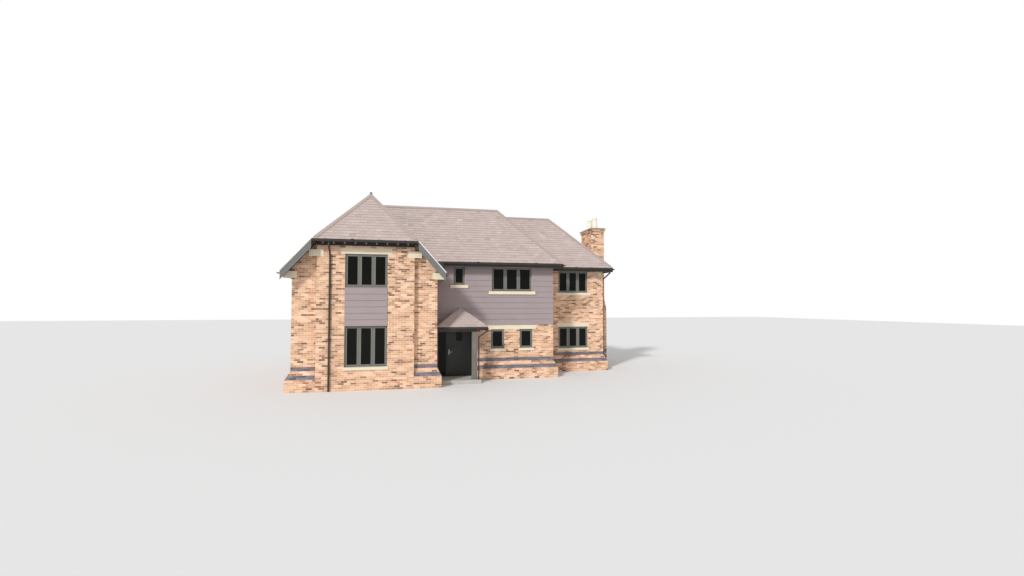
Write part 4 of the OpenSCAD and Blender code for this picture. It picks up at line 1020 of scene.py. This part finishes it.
@dataclass
class TileRoof:
    """Lays plain tiles in broken bond over every slope.

    Tail and head are the lifts of a tile's lower and upper edge, and the tone is a mean and its spread.
    """

    materials: Materials
    plan: HousePlan = PLAN
    gauge: float = 0.165
    width: float = 0.230
    gap: float = 0.003
    tail: float = 0.020
    head: float = 0.006
    root: float = 0.002
    stagger: float = 0.004
    uneven: Point2 = (-0.0015, 0.0025)
    tone: Point2 = (0.5, 0.16)
    least_area: float = 0.0004
    lap: float = 0.01
    rng: random.Random = field(default_factory=lambda: random.Random(23))

    def slope(self, shell: Shell, points: list[Point3], along: Vector) -> None:
        """Covers one convex slope.

        Args:
            shell: The mesh that takes the tiles.
            points: Its corners in space.
            along: Direction of its eaves.
        """
        ring = [Vector(point) for point in points]
        normal = Vector((0, 0, 0))
        for a, b in zip(ring[1:], ring[2:]):
            normal += (a - ring[0]).cross(b - ring[0])
        normal.normalize()
        if normal.z < 0:
            normal = -normal
        plane = Plane(min(ring, key=lambda c: c.z), along, normal.cross(along).normalized())
        outline = anticlockwise([plane.flat(c) for c in ring])
        us, vs = zip(*outline)
        step = self.width + self.gap
        for row in range(math.ceil(max(vs) / self.gauge)):
            v0, v1 = row * self.gauge, (row + 1) * self.gauge
            shift = (row % 2) * step / 2 + self.rng.uniform(-self.stagger, self.stagger)
            for u0 in starts(us, shift, step):
                tile = clip_to(corners(u0, v0, u0 + self.width, v1), outline)
                tone = min(1.0, max(0.0, self.rng.gauss(*self.tone)))
                lift = self.rng.uniform(*self.uneven)
                if tile and area(tile) >= self.least_area:
                    fall = self.head - self.tail
                    lifts = [self.tail + lift + fall * (v - v0) / self.gauge for _, v in tile]
                    shell.add_prism(plane, tile, -self.root, lifts, tone)

    def main(self) -> list[Slope]:
        """Sets out the main slopes, parted around the chimney.

        Returns:
            Corners and direction of the eaves of each slope.
        """
        p = self.plan
        me, cz = p.main_eave_z, p.crown_z
        near, far = p.stack
        xm, xr, yf, ys, yr = p.xme - p.run, p.xre - p.run, p.ymf + p.run, p.yrf + p.run, p.ymr - p.run
        inner, deep = p.x3 - self.lap, p.xre - p.x3 + self.lap
        stack_z = me + (p.xre - inner) * p.main_rise
        hip, rear_hip = (inner, p.yrf + deep, stack_z), (inner, p.ymr - deep, stack_z)
        return [
            ([(p.valley_x, p.ymf, me), (p.xme, p.ymf, me), (xm, yf, cz), (p.crown_x, yf, cz),
              (p.wing_x, p.ridge_front, p.ridge_z)], X),
            ([(p.xme, p.yrf, me), (p.xre, p.yrf, me), (xr, ys, cz), (xm, ys, cz)], X),
            ([(p.xme, p.ymf, me), (p.xme, p.yrf, me), (xm, ys, cz), (xm, yf, cz)], Y),
            ([(p.xre, p.yrf, me), (p.xre, near, me), (inner, near, stack_z), hip], Y),
            ([(p.xre, far, me), (p.xre, p.ymr, me), rear_hip, (inner, far, stack_z)], Y),
            ([hip, rear_hip, (xr, yr, cz), (xr, ys, cz)], Y),
            ([(p.xre, p.ymr, me), (p.valley_x, p.ymr, me), (p.wing_x, p.ridge_rear, p.ridge_z),
              (p.crown_x, yr, cz), (xr, yr, cz)], -X),
        ]

    def wing(self) -> list[Slope]:
        """Sets out the wing's slopes and half-hips.

        Returns:
            Corners and direction of the eaves of each slope.
        """
        p = self.plan
        we, he, cz, rz = p.wing_eave_z, p.half_eave_z, p.crown_z, p.ridge_z
        left, right, cover = p.xwl + p.half_in, p.xwr - p.half_in, p.y1 - p.clad_t
        front, back = (p.wing_x, p.yvf + p.half_run, rz), (p.wing_x, p.yvr - p.half_run, rz)
        meet, meet_rear = (p.wing_x, p.ridge_front, rz), (p.wing_x, p.ridge_rear, rz)
        foot = (p.main_eave_z - p.roof_t / math.cos(p.main_pitch) - we) / p.wing_rise
        tuck, tuck_z = p.xwr - foot, we + foot * p.wing_rise
        return [
            ([(p.xwl, p.yvr, we), (p.xwl, p.yvf, we), (left, p.yvf, he), front, back, (left, p.yvr, he)], -Y),
            ([meet_rear, meet, (p.crown_x, p.ymf + p.run, cz), (p.crown_x, p.ymr - p.run, cz)], -Y),
            ([(p.xwr, p.yvf, we), (p.xwr, p.ymf, we), (p.valley_x, p.ymf, p.wing_top(p.valley_x)), meet,
              front, (right, p.yvf, he)], Y),
            ([(p.xwr, p.ymf, we), (p.xwr, cover, we), (tuck, cover, tuck_z), (tuck, p.ymf, tuck_z)], Y),
            ([(p.valley_rear_x, p.yvr, p.wing_top(p.valley_rear_x)), (right, p.yvr, he), back, meet_rear], Y),
            ([(left, p.yvf, he), (right, p.yvf, he), front], X),
            ([(left, p.yvr, he), (right, p.yvr, he), back], -X),
        ]

    def porch(self) -> list[Slope]:
        """Sets out the three slopes of the porch roof.

        Returns:
            Corners and direction of the eaves of each slope.
        """
        p = self.plan
        apex = ((p.x1 + p.porch_x1) / 2, p.y1, p.porch_z + p.porch_rise)
        a, b = (p.x1, p.porch_y, p.porch_z), (p.porch_x1, p.porch_y, p.porch_z)
        return [([a, b, apex], X), ([b, (p.porch_x1, p.y1, p.porch_z), apex], Y),
                ([(p.x1, p.y1, p.porch_z), a, apex], -Y)]

    def build(self) -> None:
        """Covers the whole roof and the porch."""
        for name, finish, slopes in (
            ("tiles_main_slopes", "plain_roof_tile", self.main()),
            ("tiles_wing_slopes", "plain_roof_tile", self.wing()),
            ("tiles_porch", "porch_roof_tile", self.porch()),
        ):
            shell = Shell(name)
            for points, along in slopes:
                self.slope(shell, points, along)
            shell.build(self.materials[finish], "roof_tile")


@dataclass
class Boarding:
    """Horizontal boards over the middle part and between the bay windows.

    The slot holds the left, right, low and high end of the gap below the eaves of the wing's roof.
    """

    materials: Materials
    plan: HousePlan = PLAN
    pitch: float = 0.24
    lap: float = 0.018
    beyond: float = 0.05
    stretch: float = 5.0
    weld: float = 0.00005
    least: float = 0.001
    set_back: float = 0.001
    slot_depth: float = 0.034
    slot: Rect = (-1.199, -0.876, 3.92, 4.33)
    rng: random.Random = field(default_factory=lambda: random.Random(5))

    def cutter(self, node: str) -> bpy.types.Object:
        """Makes a welded copy of a node, thicker from front to back, to cut boards with.

        Args:
            node: Name of the node.

        Returns:
            The copy, which the caller removes.
        """
        shape = bmesh.new()
        shape.from_mesh(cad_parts[node].data)
        bmesh.ops.remove_doubles(shape, verts=shape.verts, dist=self.weld)
        middle = sum(v.co.y for v in shape.verts) / len(shape.verts)
        for vert in shape.verts:
            vert.co.y = middle + (vert.co.y - middle) * self.stretch
        bmesh.ops.recalc_face_normals(shape, faces=shape.faces)
        mesh = bpy.data.meshes.new("cutter")
        shape.to_mesh(mesh)
        shape.free()
        return show("cutter", mesh)

    def boards(self, name: str, node: str, face_y: float, z0: float, z1: float) -> None:
        """Covers one boarded node.

        Args:
            name: Name of the new piece.
            node: The node that it stands for.
            face_y: Front of the node.
            z0: Foot of the lowest board.
            z1: Top of the highest board.
        """
        low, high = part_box(node)
        shell = Shell(name)
        plane = Plane(Vector((0, face_y, 0)), X, Z)
        z = z0
        while z < z1 - self.least:
            outline = corners(low.x - self.beyond, z, high.x + self.beyond, min(z + self.pitch, z1))
            back = [plane.place(u, v, face_y - high.y) for u, v in outline]
            lifts = (0.0, 0.0, -self.lap, -self.lap)
            front = [plane.place(u, v, lift) for (u, v), lift in zip(outline, lifts)]
            shell.add_faces(back + front, [(3, 2, 1, 0), (4, 5, 6, 7)] + belt(0, 4, 4), self.rng.random())
            z += self.pitch
        piece = shell.build(self.materials["boarding_paint"], "boarding")
        copy = self.cutter(node)
        cut = piece.modifiers.new("outline", "BOOLEAN")
        cut.operation, cut.object, cut.solver, cut.use_self = "INTERSECT", copy, "EXACT", True
        depsgraph = bpy.context.evaluated_depsgraph_get()
        mesh = bpy.data.meshes.new_from_object(piece.evaluated_get(depsgraph))
        piece.modifiers.clear()
        piece.data = mesh
        bpy.data.objects.remove(copy)
        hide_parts(node)
        log.info("%s: %d faces after the cut", name, len(mesh.polygons))

    def under_eaves(self, face_y: float, z0: float) -> None:
        """Carries the boards over the slot that the wing's roof leaves below its eaves.

        Args:
            face_y: Front of the boards.
            z0: Foot of the lowest board.
        """
        shell = Shell("boards_under_eaves")
        plane = Plane(Vector((0, face_y, 0)), X, Z)
        left, right, low, high = self.slot
        for i in range(math.floor((low - z0) / self.pitch), math.ceil((high - z0) / self.pitch)):
            foot = z0 + i * self.pitch
            outline = corners(left, max(foot, low), right, min(foot + self.pitch, high))
            lifts = [-self.set_back - self.lap * (v - foot) / self.pitch for _, v in outline]
            shell.add_prism(plane, outline, -self.slot_depth, lifts, self.rng.random())
        shell.build(self.materials["boarding_paint"], "boarding")

    def build(self) -> None:
        """Covers both boarded areas and the slot."""
        p = self.plan
        self.boards("boards_middle", "front_cladding", p.y1 - p.clad_t, p.clad_z, p.soffit_z)
        self.under_eaves(p.y1 - p.clad_t, p.clad_z)
        low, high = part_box("bay_panel")
        self.boards("boards_bay", "bay_panel", low.y, low.z, high.z)


@dataclass(frozen=True)
class Coat:
    """A finish, the nodes that carry it and the width of their soft arris."""

    finish: str
    nodes: tuple[str, ...]
    arris: float = 0.0

    def dress(self, materials: Materials) -> None:
        """Puts the finish on the nodes, which keep their meshes."""
        for node in self.nodes:
            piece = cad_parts[node]
            piece.data.materials.clear()
            piece.data.materials.append(materials[self.finish])
            if self.arris:
                edge = piece.modifiers.new("arris", "BEVEL")
                edge.width, edge.segments, edge.limit_method = self.arris, 2, "ANGLE"


COATS = (
    Coat("floor_screed", ("ground_floor",)),
    Coat("floor_boards", ("first_floor",)),
    Coat("step_stone", ("entrance_step",), 0.006),
    Coat("lime_mortar", (
        "wing_front_wall", "wing_side_wall", "left_wall", "entrance_wall", "middle_front_wall",
        "setback_wall", "right_front_wall", "right_wall", "rear_wall", "brick_plinth", "chimney_stack")),
    Coat("dressed_stone", ("stone_lintels", "stone_sills", "kneeler_stones"), 0.004),
    Coat("frame_paint", ("lower_window_frames", "upper_window_frames"), 0.003),
    Coat("sealed_window_glass", ("lower_window_glass", "upper_window_glass", "sidelight_glass", "door_pane")),
    Coat("door_paint", ("entrance_frame", "front_door")),
    Coat("satin_steel", ("door_handle",)),
    # Porch beams: dark oak with painted shade.
    Coat("oak_beam_and_painted_shade", ("porch_beams",), 0.003),
    # Porch post: grey oak with painted shade.
    Coat("weathered_oak_and_painted_shade", ("porch_post",), 0.008),
    Coat("roof_underlay", (
        "porch_roof", "main_roof_front", "main_roof_right", "main_roof_rear", "left_roof", "wing_roof_right",
        "half_hips")),
    Coat("crown_sheet", ("roof_crown",)),
    Coat("ridge_clay", ("ridge_tiles",)),
    Coat("barge_paint", ("bargeboards",), 0.003),
    # Near-black soffit: painted shade under the eaves.
    Coat("soffit_painted_shade", ("eaves_soffit",)),
    Coat("rafter_timber", ("rafter_feet",), 0.003),
    # Dark gutters, partly painted shade under the eaves.
    Coat("gutter_coating_and_painted_shade", ("gutters",)),
    Coat("rainwater_coating", ("downpipes",)),
    Coat("pot_clay", ("chimney_pots",)),
)


@dataclass
class Fittings:
    """Verge strips, the chimney's cap, the lead saddles, and brackets and sockets of the rainwater goods.

    Socket and collar hold what their inner and outer radius add to the pipe's, and their length, and a
    strap half its width and height. A level of a saddle holds its part of the ring and its height over
    the ridge. The cap breaks at these parts of its overhang and its fall.
    """

    materials: Materials
    plan: HousePlan = PLAN
    verge_t: float = 0.038
    verge_out: float = 0.006
    verge_bits: int = 7
    verge_gap: float = 0.002
    verge_uneven: float = 0.0005
    cap_skin: float = 0.003
    cap_fall: float = 0.03
    cap_edge: float = 0.001
    cap_break: Point2 = (0.55, 0.45)
    saddle_ring: tuple[Point2, ...] = ((-0.05, -0.05), (0.05, -0.05), (0.055, 0.07), (-0.055, 0.07))
    saddle_levels: tuple[Point2, ...] = ((1.0, -0.008), (0.8, 0.073), (0.5, 0.085))
    gutter_start: float = 0.2
    bracket_step: float = 0.85
    bracket_t: float = 0.0035
    bracket_grip: float = 0.0005
    bracket_half: float = 0.012
    joint_half: float = 0.055
    clip_step: float = 1.35
    clip_drop: float = 0.07
    socket: Point3 = (-0.001, 0.007, 0.055)
    collar: Point3 = (-0.001, 0.003, 0.022)
    strap: Point2 = (0.05, 0.011)
    tall_pipe: float = 3.0
    tall_neck: float = 0.65
    short_neck: float = 0.45
    above_splay: float = 0.1

    @staticmethod
    def bar(shell: Shell, a: Vector, b: Vector, side: Vector, up: Vector) -> None:
        """Adds a straight bar with chamfered long edges.

        Args:
            shell: The mesh that takes it.
            a: Middle of its near end.
            b: Middle of its far end.
            side: Half its width, as a direction.
            up: Half its height, as a direction.
        """
        ring = [(-1, -0.7), (-0.7, -1), (0.7, -1), (1, -0.7), (1, 0.7), (0.7, 1), (-0.7, 1), (-1, 0.7)]
        points = [end + side * u + up * v for end in (a, b) for u, v in ring]
        shell.add_faces(points, belt(0, 8, 8) + [tuple(range(7, -1, -1)), tuple(range(8, 16))])

    @staticmethod
    def ring(shell: Shell, centre: Vector, radius: float, sizes: Point3) -> None:
        """Adds a short ring round an upright pipe.

        Args:
            shell: The mesh that takes it.
            centre: Its middle.
            radius: Radius of the pipe.
            sizes: What its inner and outer radius add to that, and its length.
        """
        side = Z.orthogonal().normalized()
        other = Z.cross(side)
        inner, outer, length = radius + sizes[0], radius + sizes[1], sizes[2]
        profile = [(inner, -0.5), (outer, -0.42), (outer, 0.42), (inner, 0.5)]
        turns = 14
        points: list[Vector] = []
        faces: list[Face] = []
        for k in range(turns):
            angle = 2 * math.pi * k / turns
            out = side * math.cos(angle) + other * math.sin(angle)
            points += [centre + out * r + Z * (length * t) for r, t in profile]
            faces += belt(4 * ((k + 1) % turns), 4 * k, 4)
        shell.add_faces(points, faces)

    def verges(self) -> None:
        """Lays the pale bedding over the bargeboards."""
        p = self.plan
        shell = Shell("verge_bedding")
        slope = Vector((math.cos(p.wing_pitch), 0, math.sin(p.wing_pitch)))
        normal = Vector((-math.sin(p.wing_pitch), 0, math.cos(p.wing_pitch)))
        length, bits = p.half_in / math.cos(p.wing_pitch), self.verge_bits
        wide = Y * (p.barge_t / 2 + self.verge_out)
        for y, side in ((p.yvf - p.barge_t / 2, 1), (p.yvf - p.barge_t / 2, -1), (p.yvr + p.barge_t / 2, 1)):
            flip = Vector((side, 1, 1))
            along, up = slope * flip, normal * flip
            foot = Vector((p.wing_x - side * (p.wing_x - p.xwl), y, p.wing_eave_z))
            for i in range(bits):
                a, b = length * i / bits + self.verge_gap, length * (i + 1) / bits - self.verge_gap
                lift = up * (self.verge_t / 2 + self.verge_uneven * (i % 2))
                self.bar(shell, foot + along * a + lift, foot + along * b + lift, wide, up * self.verge_t / 2)
        shell.build(self.materials["verge_mortar"], "roof_tile")

    def cap(self) -> None:
        """Casts the weathered cap over the chimney."""
        p, skin, fall, edge = self.plan, self.cap_skin, self.cap_fall, self.cap_edge
        shell = Shell("chimney_flaunching")
        near, far = p.stack
        levels = [
            (p.cap_over + skin, p.cap_z - p.cap_t - edge), (p.cap_over + skin, p.cap_z - fall + edge),
            (p.cap_over * self.cap_break[0], p.cap_z - fall * self.cap_break[1] + skin),
            (0.0, p.cap_z + skin),
        ]
        points = [Vector((x, y, z)) for out, z in levels
                  for x, y in corners(p.x3 - out, near - out, p.x3 + p.stack_d + out, far + out)]
        faces = belt(0, 4, 4) + belt(4, 8, 4) + belt(8, 12, 4) + [(12, 13, 14, 15)]
        shell.add_faces(points, faces)
        shell.build(self.materials["cap_mortar"], "brick")

    def saddles(self) -> None:
        """Dresses the lead saddles where the wing ridge meets its half-hips."""
        p = self.plan
        shell = Shell("ridge_saddles")
        for y, turn in ((p.yvf + p.half_run, 1), (p.yvr - p.half_run, -1)):
            points = [Vector((p.wing_x + u * part, y + turn * v * part, p.ridge_z + lift))
                      for part, lift in self.saddle_levels for u, v in self.saddle_ring[::turn]]
            shell.add_faces(points, belt(0, 4, 4) + belt(4, 8, 4) + [(8, 9, 10, 11)])
        shell.build(self.materials["roof_lead"], "roof_sheet")

    def brackets(self, shell: Shell) -> None:
        """Hangs the brackets and joints of the gutters.

        Args:
            shell: The mesh that takes them.
        """
        p, start = self.plan, self.gutter_start
        runs = [
            ((p.xwl, p.yvr, p.wing_eave_z), -Y, p.yvr - p.yvf),
            ((p.xwl + p.half_in, p.yvf, p.half_eave_z), X, p.xwr - p.xwl - 2 * p.half_in),
            ((p.xwr + start, p.ymf, p.main_eave_z), X, p.xme - p.xwr - start),
            ((p.xme, p.yrf, p.main_eave_z), X, p.xre - p.xme),
            ((p.xre, p.ymr, p.main_eave_z), -X, p.xre - p.xwr - start),
        ]
        arc = [math.pi * (1 + k / 8) for k in range(9)]
        faces: list[Face] = [(0, 9, 27, 18), (8, 26, 35, 17)]
        for k in range(8):
            faces += [(k, k + 1, 10 + k, 9 + k), (k, 18 + k, 19 + k, k + 1), (9 + k, 10 + k, 28 + k, 27 + k)]
        for foot, along, length in runs:
            out = along.cross(Z)
            count = max(2, round(length / self.bracket_step))
            for i in range(count):
                middle = length * (i + 0.5) / count
                at = Vector(foot) + along * middle + out * p.gutter_r + Z * p.gutter_lift
                wide = self.joint_half if i % 3 == 1 else self.bracket_half
                points = [at + along * end + out * (r * math.cos(t)) + Z * (r * math.sin(t))
                          for r in (p.gutter_r + self.bracket_t, p.gutter_r - self.bracket_grip)
                          for end in (-wide, wide) for t in arc]
                shell.add_faces(points, faces)

    def clips(self, shell: Shell) -> None:
        """Sets the sockets and wall clips of the downpipes.

        Args:
            shell: The mesh that takes them.
        """
        p = self.plan
        for low, high in solids("downpipes"):
            short = high.z - low.z < self.tall_pipe
            sideways = high.y - low.y < high.x - low.x
            radius = p.bay_pipe_r if short else p.pipe_r
            z0, z1 = low.z, high.z - (self.short_neck if short else self.tall_neck)
            x, y, wall = low.x + radius, (low.y + high.y) / 2, -X
            if sideways and not short:
                z0 = p.splay_z + self.above_splay
            elif not short:
                x, y, wall = (low.x + high.x) / 2, p.y0 - p.bay_out - p.pipe_gap - radius, Y
            count = max(2, round((z1 - z0) / self.clip_step))
            for i in range(count):
                at = Vector((x, y, z0 + (z1 - z0) * (i + 0.6) / count))
                clip_at = at - Z * self.clip_drop
                self.ring(shell, at, radius, self.socket)
                self.ring(shell, clip_at, radius, self.collar)
                self.bar(shell, clip_at + wall * radius * 0.9, clip_at + wall * (radius + p.pipe_gap),
                         wall.cross(Z) * self.strap[0], Z * self.strap[1])

    def build(self) -> None:
        """Adds every small part."""
        self.verges()
        self.cap()
        self.saddles()
        shell = Shell("rainwater_fittings")
        self.brackets(shell)
        self.clips(shell)
        shell.build(self.materials["rainwater_coating"], "rainwater")


@dataclass
class Studio:
    """Floor, lights and the camera, with angles in degrees."""

    place: Point3 = (-2.465, -23.3, 3.175)
    turn: float = -12.0
    pitch: float = 2.1
    lens: float = 16.52
    sensor: float = 36.0
    view_reach: float = 300.0
    floor_reach: float = 90.0
    floor_drop: float = 0.004
    floor_colour: Colour = (0.78, 0.78, 0.78)
    floor_rough: float = 0.9
    sky: float = 0.62
    backdrop: float = 1.0
    key_energy: float = 2.3
    key_spread: float = 6.0
    key_tilt: float = 57.0
    key_turn: float = -42.0

    def build(self) -> None:
        """Sets up the studio."""
        scene = bpy.context.scene
        scene.view_settings.view_transform = "Standard"
        self._floor()
        self._lights()
        data = bpy.data.cameras.new("camera")
        data.lens, data.sensor_width, data.clip_end = self.lens, self.sensor, self.view_reach
        scene.camera = show("camera", data)
        scene.camera.location = self.place
        scene.camera.rotation_euler = (math.radians(90 + self.pitch), 0, math.radians(self.turn))

    def _floor(self) -> None:
        """Lays the plain pale floor."""
        mesh, reach = bpy.data.meshes.new("studio_floor"), self.floor_reach
        mesh.from_pydata([(x, y, 0) for x, y in corners(-reach, -reach, reach, reach)], [], [(0, 1, 2, 3)])
        floor = show("studio_floor", mesh)
        floor.location.z = -self.floor_drop
        material, kit, shader = principled("studio_floor")
        kit.fill(shader, {"Base Color": self.floor_colour, "Roughness": self.floor_rough})
        mesh.materials.append(material)

    def _lights(self) -> None:
        """Places a broad key light and an even sky."""
        world = bpy.data.worlds.new("studio_world")
        bpy.context.scene.world = world
        world.use_nodes = True
        kit = NodeKit(world.node_tree)
        seen = kit.add("ShaderNodeLightPath").outputs["Is Camera Ray"]
        kit.fill(world.node_tree.nodes["Background"], {
            "Color": (1.0, 1.0, 1.0), "Strength": kit.span(seen, self.sky, self.backdrop)})
        lamp = bpy.data.lights.new("key", "SUN")
        lamp.energy, lamp.angle = self.key_energy, math.radians(self.key_spread)
        show("key", lamp).rotation_euler = (math.radians(self.key_tilt), 0, math.radians(self.key_turn))


def main() -> None:
    """Builds and dresses the house, piece by piece."""
    logging.basicConfig(level=logging.INFO, format="%(name)s: %(message)s")
    Studio().build()
    materials = Materials()
    log.info("%d finishes made", len(materials))
    Boarding(materials).build()
    for coat in COATS:
        coat.dress(materials)
        log.info("%s: %d nodes", coat.finish, len(coat.nodes))
    FacingWalls(Brickwork(materials)).build()
    TileRoof(materials).build()
    Fittings(materials).build()
    bpy.context.view_layer.update()


if __name__ == "__main__":
    main()
